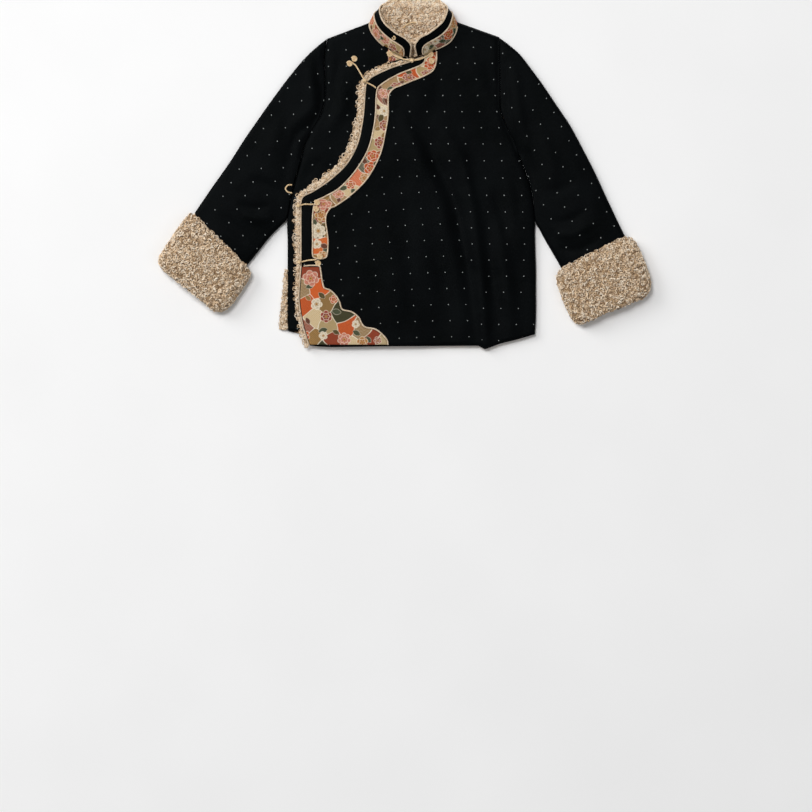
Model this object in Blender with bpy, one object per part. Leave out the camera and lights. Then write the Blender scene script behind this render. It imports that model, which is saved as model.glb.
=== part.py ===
"""A fleece-lined top laid flat on its back: padded dotted cotton, a stand collar, a placket that crosses
to the wearer's right, turned-up fleece cuffs and knotted cord fasteners.

Lengths below are millimetres. X runs across from the garment's centre line, Y up from the hem and Z up
from the surface that it lies on. The last step moves everything so that the origin is under the middle.
"""

import math

import bpy
import bmesh
from mathutils import Vector

MM = 0.001
COLLECTION = "fleece_lined_top"

# Cloth walls and the height of each layer of the flat stack.
WALL = 5.0
EDGE_WALL = 3.0
SEAM_GAP = 0.5
SEAT = 0.3
BACK_TOP = 5.0
SIDE_SEAM = 5.3
UNDER_BOTTOM = 5.8
OVER_BOTTOM_ON_UNDER = 12.5
OVER_BOTTOM_ON_BACK = 8.6
STEP_START_X = 0.0
STEP_LENGTH = 60.0
EDGE_ROUND = 14.0
BACK_EDGE_ROUND = 9.0
BACK_EDGE_LIFT = 2.2

# Narrow trimmings.
BAND_THICKNESS = 1.0
PIPING_RADIUS = 1.4
EDGE_PIPING_RADIUS = 1.6
CORD_RADIUS = 1.6
COIN_RADIUS = 6.4
COIN_TOP_RADIUS = 5.5
COIN_THICKNESS = 2.5
KNOT_RADIUS = 4.8
FLEECE_START = 4.0
FLEECE_BELOW_CLOTH = 1.0
FLEECE_LIP = 2.0
BAND_END = 8.0

# Colours: red, green, blue, roughness.
BLACK_COTTON = (0.012, 0.015, 0.018, 0.85)
FLEECE = (0.56, 0.44, 0.30, 1.0)
BROCADE = (0.72, 0.52, 0.34, 0.55)
PIPING = (0.70, 0.55, 0.36, 0.5)
CORD = (0.80, 0.62, 0.34, 0.5)

# Right side, from the hem to the armpit, then the armhole up to the shoulder tip: x, y.
RIGHT_SIDE = [
    (258, 25), (260, 65), (260, 118), (260, 160), (259, 191), (258, 239), (258, 262),
    (254, 307), (247, 340), (235, 374), (225, 401),
]
RIGHT_ARMHOLE = [
    (225, 401), (212, 435), (200, 456), (186, 491), (184, 517), (184, 563), (183, 605), (183, 647),
]
LEFT_SIDE = [
    (-260, 32), (-261, 65), (-261, 118), (-261, 160), (-261, 191), (-261, 223), (-262, 267),
    (-256, 302), (-248, 338), (-239, 370), (-231, 399),
]
LEFT_ARMHOLE = [
    (-231, 399), (-223, 428), (-208, 456), (-191, 487), (-183, 521), (-182, 563), (-184, 605), (-178, 645),
]
RIGHT_SHOULDER = [(183, 647), (92, 680)]
LEFT_SHOULDER = [(-178, 645), (-86, 680)]

# The over front, a row for each section from hem to shoulder. Columns: the placket's edge x, y; the line
# between its two bands x, y; the outer line of the brocade band x, y; the height y at which the section
# meets the right side; how far the fleece reaches out past the edge.
OVER_FRONT = [
    (-214, 1, -193, 0, -168, 0, 25, 11),
    (-227, 44, -204, 42, -176, 42, 65, 9),
    (-235, 97, -210, 97, -178, 97, 118, 9),
    (-233, 139, -208, 139, -178, 139, 160, 11),
    (-231, 168, -208, 168, -178, 168, 191, 12),
    (-231, 178, -208, 178, -178, 178, 200, 13),
    (-231, 191, -208, 191, -178, 191, 215, 13),
    (-231, 223, -208, 223, -176, 223, 239, 13),
    (-231, 275, -208, 273, -181, 267, 262, 13),
    (-229, 309, -202, 302, -172, 288, 307, 11),
    (-206, 323, -183, 313, -160, 294, 340, 15),
    (-172, 346, -151, 332, -130, 315, 374, 16),
    (-136, 380, -118, 368, -94, 351, 401, 17),
    (-113, 422, -92, 412, -67, 401, 435, 16),
    (-103, 464, -80, 458, -55, 452, 456, 15),
    (-99, 496, -76, 491, -50, 485, 491, 15),
    (-97, 527, -75, 519, -50, 510, 517, 15),
    (-94, 550, -72, 540, -48, 528, 533, 14),
    (-85, 561, -63, 549, -38, 540, 548, 13),
    (-67, 571, -48, 559, -23, 546, 565, 12),
    (-42, 582, -25, 571, -2, 555, 582, 11),
    (-17, 590, -2, 580, 23, 565, 598, 9),
    (4, 597, 19, 589, 44, 578, 611, 7),
    (23, 604, 27, 598, 51, 598, 622, 5),
]
FIRST_BAND_ROW = 5
FIRST_BROCADE_ROW = 6
LAST_BAND_ROW = 23

# Neckline of the over front beyond the placket: x, y, and the height y where the section meets the armhole.
# The two band columns end there, and go on as narrow shares of the section.
OVER_NECKLINE = [(48, 621, 630), (74, 636, 636), (90, 659, 642), (92, 680, 647)]
NECK_COLUMN = 0.03

# Hem of the over front, with the small tip that its largest fold makes.
OVER_HEM = [(-214, 1), (-57, 2), (139, 2), (153, -6), (185, 6), (216, 13), (258, 25)]
BACK_HEM = [(-260, 32), (-190, 16), (0, 9), (190, 16), (258, 25)]
HEM_FADE = [1.0, 0.35, 0.1]

# How many stretches each panel has across, and the two places beside a rounded edge.
OVER_COLUMNS = 12
UNDER_COLUMNS = 9
BACK_COLUMNS = 16
PANEL_EDGE_STEPS = (3.0, 10.0)

# The under front, a row for each section: the height y on the left side, then the right end x, y. It runs
# to the centre line under the over front, and then follows the neckline.
UNDER_FRONT = [
    (32, 0, 6), (65, 0, 45), (118, 0, 105), (160, 0, 150), (191, 0, 185), (223, 0, 220), (267, 0, 265),
    (302, 0, 300), (338, 0, 335), (370, 0, 368), (399, 0, 398), (428, 0, 430), (456, 0, 462),
    (487, 0, 500), (521, 0, 545), (563, 0, 601), (580, -21, 607), (593, -34, 614), (605, -46, 624),
    (616, -58, 631), (626, -70, 642), (634, -81, 656), (640, -86, 670), (645, -86, 680),
]

# The back's neckline, between its two shoulder seams.
BACK_NECKLINE = [(-86, 680), (-63, 675), (-34, 671), (2, 670), (38, 671), (67, 675), (92, 680)]
BACK_TOP_FADE = [1.0, 0.55, 0.25]

# Folds that lie in the outer face of a front: start x, y; end x, y; half width; height.
OVER_FOLDS = [
    (-15, 475, 84, 307, 22, -1.4),
    (84, 307, 141, 2, 13, -1.6),
    (60, 400, 118, 300, 20, 2.6),
    (112, 330, 153, -2, 13, 6.0),
    (174, 340, 200, 230, 16, -1.2),
    (205, 330, 222, 200, 16, 2.6),
    (150, 560, 205, 440, 16, 2.0),
    (-60, 300, -20, 80, 30, 1.6),
    (20, 250, 40, 60, 26, 1.4),
]
UNDER_FOLDS = [
    (-170, 600, -150, 500, 14, 2.6),
    (-150, 500, -190, 440, 14, 2.2),
    (-215, 410, -175, 385, 10, 1.8),
]

# Sleeves, a row for each section from the armhole to the cuff: upper edge x, y; lower edge x, y; rise of
# the middle over the edges.
RIGHT_SLEEVE = [
    (183, 647, 225, 401, 0.0), (202, 633, 235, 374, 1.5), (225, 613, 247, 340, 2.5),
    (248, 584, 254, 307, 3.0), (273, 550, 258, 262, 3.5), (302, 507, 267, 245, 4.0),
    (332, 462, 275, 229, 4.5), (359, 412, 286, 210, 4.5), (385, 361, 296, 193, 5.0),
    (414, 298, 306, 176, 5.5), (449, 225, 315, 160, 6.0),
]
LEFT_SLEEVE = [
    (-178, 645, -231, 399, 0.0), (-197, 630, -239, 370, 1.5), (-216, 613, -248, 338, 2.5),
    (-239, 588, -256, 302, 3.0), (-269, 550, -262, 267, 3.5), (-299, 509, -277, 250, 4.0),
    (-323, 475, -294, 233, 4.5), (-352, 433, -309, 215, 4.5), (-382, 386, -323, 197, 5.0),
    (-420, 332, -336, 181, 5.5), (-460, 273, -349, 166, 6.0),
]
SLEEVE_MIDDLE = 6.7
SLEEVE_HALF_HOLLOW = 1.7
SLEEVE_EDGE_ROUND = 10.0
SLEEVE_EDGE_STEPS = (3.0, 10.0)
ARMHOLE_FADE = [1.0, 0.55, 0.2]

# Turned-up fleece cuffs: upper edge x, y; lower edge x, y; height above and below the middle line.
# A first section, which follows the sleeve's end, is worked out.
RIGHT_CUFF = [
    (466, 217, 305, 141, 15, 13), (484, 178, 315, 105, 18, 14), (496, 143, 328, 76, 18, 14),
    (496, 118, 340, 55, 16, 14), (482, 101, 353, 47, 10, 11),
]
LEFT_CUFF = [
    (-480, 258, -341, 149, 15, 13), (-506, 220, -361, 116, 18, 14), (-527, 187, -383, 86, 18, 14),
    (-527, 172, -401, 75, 16, 14), (-516, 157, -414, 76, 10, 11),
]
CUFF_MIDDLE = 14.0
CUFF_HALF_HOLLOW = 1.7
CUFF_EDGE_WALL = 10.0
CUFF_EDGE_ROUND = 20.0
CUFF_EDGE_STEPS = (5.0, 14.0, 28.0)
CUFF_START_HEIGHTS = (12, 11)
CUFF_PARTING = 0.6
CUFF_OVERHANG = 5.0
CUFF_FRACTIONS = (0.4, 0.6)
CUFF_CROWN = 2.0

# Stand collar, a row for each section from its left front end round the back to its right front end:
# neck seam x, y, z; top edge x, y, z.
COLLAR = [
    (-5, 606, 16, -2, 629, 42), (-21, 611, 15.5, -13, 640, 44), (-34, 617, 15, -23, 646, 44),
    (-46, 626, 14.5, -34, 652, 43), (-57, 633, 14, -44, 660, 42), (-69, 644, 14, -55, 670, 40),
    (-80, 658, 13.5, -62, 680, 38), (-85, 670, 12.5, -66, 690, 34), (-85, 679, 10.5, -68, 700, 28),
    (-78, 683, 8.5, -66, 709, 21), (-63, 678, 7, -57, 716, 14), (-34, 674, 6.5, -34, 719, 11),
    (2, 673, 6.5, 2, 720, 10), (38, 674, 6.5, 38, 719, 11), (67, 678, 7, 63, 716, 14),
    (82, 683, 8.5, 72, 710, 21), (90, 680, 10.5, 74, 701, 28), (91, 670, 13.5, 71, 690, 34),
    (87, 656, 15, 65, 677, 38), (77, 641, 15.2, 55, 667, 40), (63, 632, 15.5, 44, 658, 42),
    (47, 625, 17.5, 32, 650, 43), (29, 614, 19, 17, 642, 44), (11, 608, 20, 6, 629, 42),
]
COLLAR_STEPS = 2
COLLAR_CLOTH = 2.5
COLLAR_LINING = 5.0
COLLAR_BULGE = 2.0
COLLAR_SPANS = (0.0, 0.06, 0.27, 0.48, 1.0)
COLLAR_BAND_SPANS = COLLAR_SPANS[1:4]
COLLAR_SEAT = 0.7
COLLAR_PIPING_SPAN = 0.62
NECK_PIPING_OUT = 4.6
NECK_PIPING_ROWS = {"left": (4, 9), "right": (17, 22)}

# Fleece that shows through the neck: the back's lining, set in from the neck seam.
LINING_INSET = 11.0
LINING_THICKNESS = 3.6

# Brocade at the top of the under front, where it shows between the neck seam and the over front: x, y.
UNDER_STRIP = [(-50, 597), (-36, 600), (-24, 604.5), (-24, 607), (-36, 613), (-50, 620)]

# Brocade corner at the hem: its scalloped edge from the top to the hem, x, y.
CORNER_EDGE = [
    (-195, 166), (-193, 158), (-191, 143), (-188, 128), (-184, 120), (-173, 116), (-161, 105),
    (-153, 91), (-150, 80), (-144, 74), (-127, 70), (-113, 59), (-107, 47), (-98, 38), (-78, 34),
    (-63, 23), (-54, 12), (-52, 3),
]
CORNER_LEFT = [(-214, 3), (-226, 44), (-234, 97), (-232, 139), (-230, 166)]
CORNER_LIFT = 1.6
CORNER_PIPING_LIFT = 2.6

# Fleece that peeps out of the back's side slit.
SLIT_X = (-277, -261.6)
SLIT_Y = (40, 80, 120, 160)
SLIT_HEIGHTS = (3.0, 7.0, 5.0)

# Spiral cord coins: name, x, y, z of the underside.
COINS = [
    ("neck_coin_left", -47, 612, 12.5),
    ("neck_coin_upper", 39, 611, 16.9),
    ("neck_coin_lower", 41, 597, 16.8),
    ("shoulder_coin_outer", -131, 592, 11.4),
    ("shoulder_coin_inner", -121, 602, 11.4),
    ("armpit_coin_upper", -199, 300, 21.0),
    ("armpit_coin_lower", -201, 286.5, 21.0),
    ("waist_coin_upper", -193, 187, 21.0),
    ("waist_coin_lower", -197, 173, 18.3),
]

# Ball knots: name, x, y, z of the middle.
KNOTS = [
    ("neck_knot", 0, 598, 23.2),
    ("shoulder_knot", -99, 556, 23.2),
    ("armpit_knot", -238, 294, 22.4),
    ("waist_knot", -236, 176, 22.4),
]

# Fastener cords and loops: name, points x, y, z.
CORDS = {
    "neck_cord_left": [(-42, 611.5, 17.1), (-30, 605, 19.5), (-18, 601, 21.5), (-5, 598.4, 23)],
    "neck_cord_right": [(5, 598.4, 22.6), (14, 600, 20.4), (24, 604, 19.4), (32.6, 608.8, 18.9)],
    "shoulder_cord_outer": [(-127, 595.5, 15.9), (-118, 588, 16.6), (-110, 575, 20), (-101.5, 560.3, 22.6)],
    "shoulder_cord_inner": [(-95.9, 552.2, 22.1), (-89, 549, 21.0), (-81, 545, 20.9), (-76, 541, 20.9)],
    "armpit_cord": [(-233, 294.6, 22.0), (-226, 297, 21), (-216, 297, 20.9), (-207, 297, 20.9)],
    "waist_cord": [(-231.1, 176.3, 21.6), (-225, 178, 20.9), (-215, 180, 20.9), (-200.8, 181, 22.2)],
    "side_loop": [
        (-252, 338, 15.8), (-260, 337, 17.4), (-265, 330, 17.8), (-260, 323, 17.6), (-252, 321, 15.8),
    ],
    "collar_loop": [
        (-42, 645, 39.0), (-43.4, 644.3, 43), (-40, 642, 46), (-36.2, 639.4, 43), (-35.6, 640.6, 39.0),
    ],
    "hang_loop": [(-17, 668, 13.2), (-13, 673, 14.2), (-6, 677, 14.7), (2, 679, 14.8), (8, 678, 14.4)],
}


# Helpers for lines and heights.


def lerp(a, b, t):
    return a + (b - a) * t


def smooth(t):
    t = min(max(t, 0.0), 1.0)
    return t * t * (3 - 2 * t)


def quarter_round(distance, reach):
    """Height of a rounded edge, from 0 on the edge to 1 at the reach and beyond."""
    t = min(max(distance / reach, 0.0), 1.0)
    return math.sqrt(1 - (1 - t) ** 2)


def distance_to_segment(x, y, a, b):
    ax, ay = a[0], a[1]
    dx, dy = b[0] - ax, b[1] - ay
    t = ((x - ax) * dx + (y - ay) * dy) / (dx * dx + dy * dy)
    t = min(max(t, 0.0), 1.0)
    return math.hypot(x - ax - t * dx, y - ay - t * dy)


def distance_to_line(x, y, line):
    return min(distance_to_segment(x, y, a, b) for a, b in zip(line, line[1:]))


def value_at(line, position, axis):
    """The other coordinate of a line where its given axis reaches a position."""
    other = 1 - axis
    for a, b in zip(line, line[1:]):
        low, high = sorted((a[axis], b[axis]))
        if low <= position <= high and high > low:
            return lerp(a[other], b[other], (position - a[axis]) / (b[axis] - a[axis]))
    nearest = min(line[0], line[-1], key=lambda point: abs(position - point[axis]))
    return nearest[other]


def fold_height(x, y, folds):
    """Sum of the soft folds at a place. Each dies out at its two ends."""
    total = 0.0
    for x0, y0, x1, y1, width, height in folds:
        away = distance_to_segment(x, y, (x0, y0), (x1, y1)) / width
        total += height * math.exp(-away * away)
    return total


# Heights of the layers.


def step_to_right(x):
    return smooth((x - STEP_START_X) / STEP_LENGTH)


def over_edge_distance(x, y):
    return min(distance_to_line(x, y, RIGHT_SIDE), distance_to_line(x, y, RIGHT_SHOULDER))


def over_bottom(x, y):
    flat = lerp(OVER_BOTTOM_ON_UNDER, OVER_BOTTOM_ON_BACK, step_to_right(x))
    return lerp(SIDE_SEAM, flat, quarter_round(over_edge_distance(x, y), EDGE_ROUND))


def over_top(x, y):
    rise = quarter_round(over_edge_distance(x, y), EDGE_ROUND)
    flat = lerp(OVER_BOTTOM_ON_UNDER, OVER_BOTTOM_ON_BACK, step_to_right(x)) + WALL
    return lerp(SIDE_SEAM + EDGE_WALL, flat, rise) + fold_height(x, y, OVER_FOLDS) * rise


def under_edge_distance(x, y):
    return min(distance_to_line(x, y, LEFT_SIDE), distance_to_line(x, y, LEFT_SHOULDER))


def under_bottom(x, y):
    return lerp(SIDE_SEAM, UNDER_BOTTOM, quarter_round(under_edge_distance(x, y), EDGE_ROUND))


def under_top(x, y):
    rise = quarter_round(under_edge_distance(x, y), EDGE_ROUND)
    return lerp(SIDE_SEAM + EDGE_WALL, UNDER_BOTTOM + WALL, rise) + fold_height(x, y, UNDER_FOLDS) * rise


def back_bottom(x, y):
    sides = (LEFT_SIDE, RIGHT_SIDE, LEFT_SHOULDER, RIGHT_SHOULDER)
    edge = min(distance_to_line(x, y, line) for line in sides)
    return BACK_EDGE_LIFT * (1 - quarter_round(edge, BACK_EDGE_ROUND))


def back_top(x, y):
    return BACK_TOP


# Meshes and objects.


def material(name, colour):
    red, green, blue, roughness = colour
    made = bpy.data.materials.new(name)
    made.use_nodes = True
    shader = made.node_tree.nodes["Principled BSDF"]
    shader.inputs["Base Color"].default_value = (red, green, blue, 1.0)
    shader.inputs["Roughness"].default_value = roughness
    shader.inputs["Metallic"].default_value = 0.0
    return made


def add_object(name, data, colour):
    data.materials.append(material(name + "_cloth", colour))
    made = bpy.data.objects.new(name, data)
    bpy.data.collections[COLLECTION].objects.link(made)
    return made


def mesh_object(name, mesh_builder, colour):
    bmesh.ops.recalc_face_normals(mesh_builder, faces=mesh_builder.faces)
    data = bpy.data.meshes.new(name)
    mesh_builder.to_mesh(data)
    mesh_builder.free()
    return add_object(name, data, colour)


def grid_solid(name, top, bottom, colour):
    """A closed wall between two grids of points, given row by row in millimetres."""
    made = bmesh.new()
    grids = [[[made.verts.new(Vector(p) * MM) for p in row] for row in grid] for grid in (top, bottom)]
    rows, columns = len(top), len(top[0])
    for grid in grids:
        for i in range(rows - 1):
            for j in range(columns - 1):
                made.faces.new((grid[i][j], grid[i][j + 1], grid[i + 1][j + 1], grid[i + 1][j]))
    upper, lower = grids
    for j in range(columns - 1):
        for i in (0, rows - 1):
            made.faces.new((upper[i][j], upper[i][j + 1], lower[i][j + 1], lower[i][j]))
    for i in range(rows - 1):
        for j in (0, columns - 1):
            made.faces.new((upper[i][j], upper[i + 1][j], lower[i + 1][j], lower[i][j]))
    return mesh_object(name, made, colour)


def panel(name, rows, top_height, bottom_height, colour):
    """A cloth panel over rows of x, y places, between two height functions."""
    top = [[(x, y, top_height(x, y)) for x, y in row] for row in rows]
    bottom = [[(x, y, bottom_height(x, y)) for x, y in row] for row in rows]
    return grid_solid(name, top, bottom, colour)


def tube_solid(name, outer, inner, colour):
    """A hollow tube through rings of points: two skins, joined round each end."""
    made = bmesh.new()
    skins = [[[made.verts.new(Vector(p) * MM) for p in ring] for ring in skin] for skin in (outer, inner)]
    count = len(outer[0])
    for skin in skins:
        for a, b in zip(skin, skin[1:]):
            for k in range(count):
                following = (k + 1) % count
                made.faces.new((a[k], a[following], b[following], b[k]))
    for end in (0, -1):
        out_ring, in_ring = skins[0][end], skins[1][end]
        for k in range(count):
            following = (k + 1) % count
            made.faces.new((out_ring[k], out_ring[following], in_ring[following], in_ring[k]))
    return mesh_object(name, made, colour)


def cord_object(name, points, radius, colour, sides=1):
    """A cord or piping: a polyline curve with a round bevel and closed ends."""
    data = bpy.data.curves.new(name, "CURVE")
    data.dimensions = "3D"
    data.bevel_depth = radius * MM
    data.bevel_resolution = sides
    data.use_fill_caps = True
    spline = data.splines.new("POLY")
    spline.points.add(len(points) - 1)
    for target, point in zip(spline.points, points):
        target.co = (point[0] * MM, point[1] * MM, point[2] * MM, 1.0)
    return add_object(name, data, colour)


def smooth_route(points, steps):
    """Points of a smooth curve through a short route, a cubic to each stretch."""
    padded = [points[0]] + list(points) + [points[-1]]
    found = []
    for p0, p1, p2, p3 in zip(padded, padded[1:], padded[2:], padded[3:]):
        a, b, c, d = Vector(p0), Vector(p1), Vector(p2), Vector(p3)
        for k in range(steps):
            t = k / steps
            bend = 2 * a - 5 * b + 4 * c - d
            twist = 3 * b - a - 3 * c + d
            found.append((2 * b + (c - a) * t + bend * t ** 2 + twist * t ** 3) / 2)
    found.append(Vector(points[-1]))
    return found


def outward_normals(line):
    """For each point of a plan line, the unit direction to the left of its run."""
    found = []
    for i in range(len(line)):
        before = Vector(line[max(i - 1, 0)][:2])
        after = Vector(line[min(i + 1, len(line) - 1)][:2])
        run = (after - before).normalized()
        found.append(Vector((-run.y, run.x)))
    return found


def shifted(line, distances):
    """A plan line moved to its left by a distance at each point."""
    normals = outward_normals(line)
    return [(p[0] + n.x * d, p[1] + n.y * d) for p, n, d in zip(line, normals, distances)]


# Body panels.


def section_line(start, end, fractions):
    return [(lerp(start[0], end[0], t), lerp(start[1], end[1], t)) for t in fractions]


def edge_fractions(length, count, at_start, at_end):
    """Even fractions along a section, with two extra places close to each rounded edge."""
    near = [t / length for t in PANEL_EDGE_STEPS]
    low = near[-1] if at_start else 0.0
    high = 1 - near[-1] if at_end else 1.0
    middle = [lerp(low, high, k / count) for k in range(count + 1)]
    start = [0.0] + near[:-1] if at_start else []
    end = [1 - near[0], 1.0] if at_end else []
    return start + middle + end


def follow_hem(rows, hem):
    """Bends the first rows of a panel to its hem line."""
    first, last = rows[0][0], rows[0][-1]
    bent = []
    for i, row in enumerate(rows):
        fade = HEM_FADE[i] if i < len(HEM_FADE) else 0.0
        bent_row = []
        for x, y in row:
            straight = lerp(first[1], last[1], (x - first[0]) / (last[0] - first[0]))
            bent_row.append((x, y + fade * (value_at(hem, x, 0) - straight)))
        bent.append(bent_row)
    return bent


def right_edge(y):
    """Place on the right side or armhole at a height."""
    line = RIGHT_SIDE if y <= RIGHT_SIDE[-1][1] else RIGHT_ARMHOLE
    return (value_at(line, y, 1), y)


def left_edge(y):
    line = LEFT_SIDE if y <= LEFT_SIDE[-1][1] else LEFT_ARMHOLE
    return (value_at(line, y, 1), y)


def over_front_rows():
    rows = []
    for ex, ey, mx, my, ox, oy, side_y, _ in OVER_FRONT:
        start, end = (ox, oy), right_edge(side_y)
        length = math.dist(start, end)
        fractions = edge_fractions(length, OVER_COLUMNS, False, True)
        rows.append([(ex, ey), (mx, my)] + section_line(start, end, fractions))
    for nx, ny, side_y in OVER_NECKLINE:
        start, end = (nx, ny), right_edge(side_y)
        length = math.dist(start, end)
        lead = section_line(start, end, (0.0, NECK_COLUMN))
        fractions = edge_fractions(length * (1 - 2 * NECK_COLUMN), OVER_COLUMNS, False, True)
        rest = section_line(section_line(start, end, (2 * NECK_COLUMN,))[0], end, fractions)
        rows.append(lead + rest)
    return follow_hem(rows, OVER_HEM)


def under_front_rows():
    rows = []
    for side_y, end_x, end_y in UNDER_FRONT:
        start, end = left_edge(side_y), (end_x, end_y)
        fractions = edge_fractions(math.dist(start, end), UNDER_COLUMNS, True, False)
        rows.append(section_line(start, end, fractions))
    return rows


def back_rows():
    """Sections from side to side. The last ones rise and dip to the shoulder seams and the neckline."""
    left = LEFT_SIDE + LEFT_ARMHOLE[1:]
    right = RIGHT_SIDE + RIGHT_ARMHOLE[1:]
    top_line = LEFT_SHOULDER[:1] + BACK_NECKLINE + RIGHT_SHOULDER[:1]
    rows = []
    for i, (start, end) in enumerate(zip(left, right)):
        rest = len(left) - 1 - i
        lift = BACK_TOP_FADE[rest] if rest < len(BACK_TOP_FADE) else 0.0
        row = section_line(start, end, edge_fractions(end[0] - start[0], BACK_COLUMNS, True, True))
        if rest == 0:
            row = neckline_row(top_line, len(row))
        elif lift:
            top_row = neckline_row(top_line, len(row))
            tip = top_row[0][1]
            row = [(lerp(x, tx, lift), y + lift * (ty - tip)) for (x, y), (tx, ty) in zip(row, top_row)]
            row[0], row[-1] = start, end
        rows.append(row)
    return follow_hem(rows, BACK_HEM)


def neckline_row(line, count):
    """A row of points along the shoulders and neckline, at even steps across."""
    first, last = line[0][0], line[-1][0]
    places = edge_fractions(last - first, count - 5, True, True)
    return [(lerp(first, last, t), value_at(line, lerp(first, last, t), 0)) for t in places]


def build_body():
    over_rows = over_front_rows()
    panel("back_panel", back_rows(), back_top, back_bottom, BLACK_COTTON)
    panel("under_front", under_front_rows(), under_top, under_bottom, BLACK_COTTON)
    panel("over_front", over_rows, over_top, over_bottom, BLACK_COTTON)


# Sleeves and cuffs.


def armhole_fractions(armhole):
    """How far along the armhole each of its points lies, from the shoulder tip down, and those points."""
    line = armhole[::-1]
    lengths = [0.0]
    for a, b in zip(line, line[1:]):
        lengths.append(lengths[-1] + math.dist(a, b))
    return [length / lengths[-1] for length in lengths], line


def on_line(line, fractions, t):
    for k in range(len(line) - 1):
        if t <= fractions[k + 1]:
            part = (t - fractions[k]) / (fractions[k + 1] - fractions[k])
            return lerp(line[k][0], line[k + 1][0], part), lerp(line[k][1], line[k + 1][1], part)
    return line[-1][0], line[-1][1]


def flat_ring(upper, lower, places, middle, heights, edge, crown, bow):
    """A flattened ring between two edge points. Places are distances along it, heights above and below."""
    run = Vector((lower[0] - upper[0], lower[1] - upper[1]))
    length = run.length
    run.normalize()
    top, bottom = [], []
    for place, (bow_x, bow_y) in zip(places, bow):
        x = upper[0] + run.x * place + bow_x
        y = upper[1] + run.y * place + bow_y
        rise = quarter_round(min(place, length - place), edge)
        arch = crown * math.sin(math.pi * place / length)
        top.append((x, y, middle + (heights[0] + arch) * rise))
        bottom.append((x, y, middle - heights[1] * rise))
    return top + bottom[-2:0:-1]


def inset_ends(upper, lower, inset):
    run = Vector((lower[0] - upper[0], lower[1] - upper[1])).normalized() * inset
    return (upper[0] + run.x, upper[1] + run.y), (lower[0] - run.x, lower[1] - run.y)


def sleeve(name, table, armhole, side):
    """A flattened sleeve. Its first ring follows the armhole, a seam's gap away from the body."""
    fractions, line = armhole_fractions(armhole)
    outer, inner = [], []
    for i, (ux, uy, lx, ly, crown) in enumerate(table):
        seam = SEAM_GAP * side
        fade = ARMHOLE_FADE[i] if i < len(ARMHOLE_FADE) else 0.0
        for skin, inset in ((outer, 0.0), (inner, EDGE_WALL)):
            upper, lower = inset_ends((ux + seam, uy), (lx + seam, ly), inset)
            length = math.dist(upper, lower)
            near = list(SLEEVE_EDGE_STEPS)
            places = [0.0, length] + near + [length - t for t in near]
            places += [t * length for t in fractions[1:-1]]
            places.sort()
            bow = []
            for place in places:
                t = place / length
                chord = (lerp(line[0][0], line[-1][0], t), lerp(line[0][1], line[-1][1], t))
                bent = on_line(line, fractions, t)
                bow.append(((bent[0] - chord[0]) * fade, (bent[1] - chord[1]) * fade))
            if inset:
                half, edge, arch = SLEEVE_HALF_HOLLOW, EDGE_WALL, 0.0
            else:
                half, edge, arch = SLEEVE_MIDDLE, SLEEVE_EDGE_ROUND, crown
            skin.append(flat_ring(upper, lower, places, SLEEVE_MIDDLE, (half, half), edge, arch, bow))
    return tube_solid(name, outer, inner, BLACK_COTTON)


def cuff_start(sleeve_row, toward):
    """The cuff's first section: the sleeve's end line, longer and just parted from it."""
    upper, lower = sleeve_row[:2], sleeve_row[2:4]
    upper, lower = inset_ends(upper, lower, -CUFF_OVERHANG)
    run = Vector((lower[0] - upper[0], lower[1] - upper[1])).normalized()
    away = Vector((-run.y, run.x))
    if away.dot(Vector(toward) - Vector(upper)) < 0:
        away = -away
    step = away * CUFF_PARTING
    return (upper[0] + step.x, upper[1] + step.y, lower[0] + step.x, lower[1] + step.y) + CUFF_START_HEIGHTS


def cuff(name, table, sleeve_row):
    rows = [cuff_start(sleeve_row, table[1][:2])] + table
    outer, inner = [], []
    for ux, uy, lx, ly, above, below in rows:
        length = math.dist((ux, uy), (lx, ly))
        near = list(CUFF_EDGE_STEPS)
        places = [0.0, length] + near + [length - t for t in near] + [t * length for t in CUFF_FRACTIONS]
        places.sort()
        flat = [(0.0, 0.0)] * len(places)
        heights = (above, below)
        ring = flat_ring((ux, uy), (lx, ly), places, CUFF_MIDDLE, heights, CUFF_EDGE_ROUND, CUFF_CROWN, flat)
        outer.append(ring)
        upper, lower = inset_ends((ux, uy), (lx, ly), CUFF_EDGE_WALL)
        scale = math.dist(upper, lower) / length
        hollow = (CUFF_HALF_HOLLOW, CUFF_HALF_HOLLOW)
        scaled = [place * scale for place in places]
        inner.append(flat_ring(upper, lower, scaled, CUFF_MIDDLE, hollow, EDGE_WALL, 0.0, flat))
    return tube_solid(name, outer, inner, FLEECE)


def build_sleeves():
    sleeve("sleeve_right_of_photo", RIGHT_SLEEVE, RIGHT_ARMHOLE, 1)
    sleeve("sleeve_left_of_photo", LEFT_SLEEVE, LEFT_ARMHOLE, -1)
    cuff("cuff_right_of_photo", RIGHT_CUFF, RIGHT_SLEEVE[-1])
    cuff("cuff_left_of_photo", LEFT_CUFF, LEFT_SLEEVE[-1])


# Collar.


def collar_frames():
    """For each section: seam point, top point and the unit direction out of the collar's outer face."""
    seams = smooth_route([row[:3] for row in COLLAR], COLLAR_STEPS)
    tops = smooth_route([row[3:] for row in COLLAR], COLLAR_STEPS)
    frames = []
    for i in range(len(seams)):
        before, after = max(i - 1, 0), min(i + 1, len(seams) - 1)
        run = (seams[after] + tops[after]) - (seams[before] + tops[before])
        out = (tops[i] - seams[i]).cross(run).normalized()
        frames.append((seams[i], tops[i], out))
    return frames


def collar_point(frame, across, out):
    """A place on the collar: a share of the way from seam to top, and a distance out of its face."""
    seam, top, normal = frame
    bulge = COLLAR_BULGE * math.sin(math.pi * across)
    return tuple(seam.lerp(top, across) + normal * (out + bulge))


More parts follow.
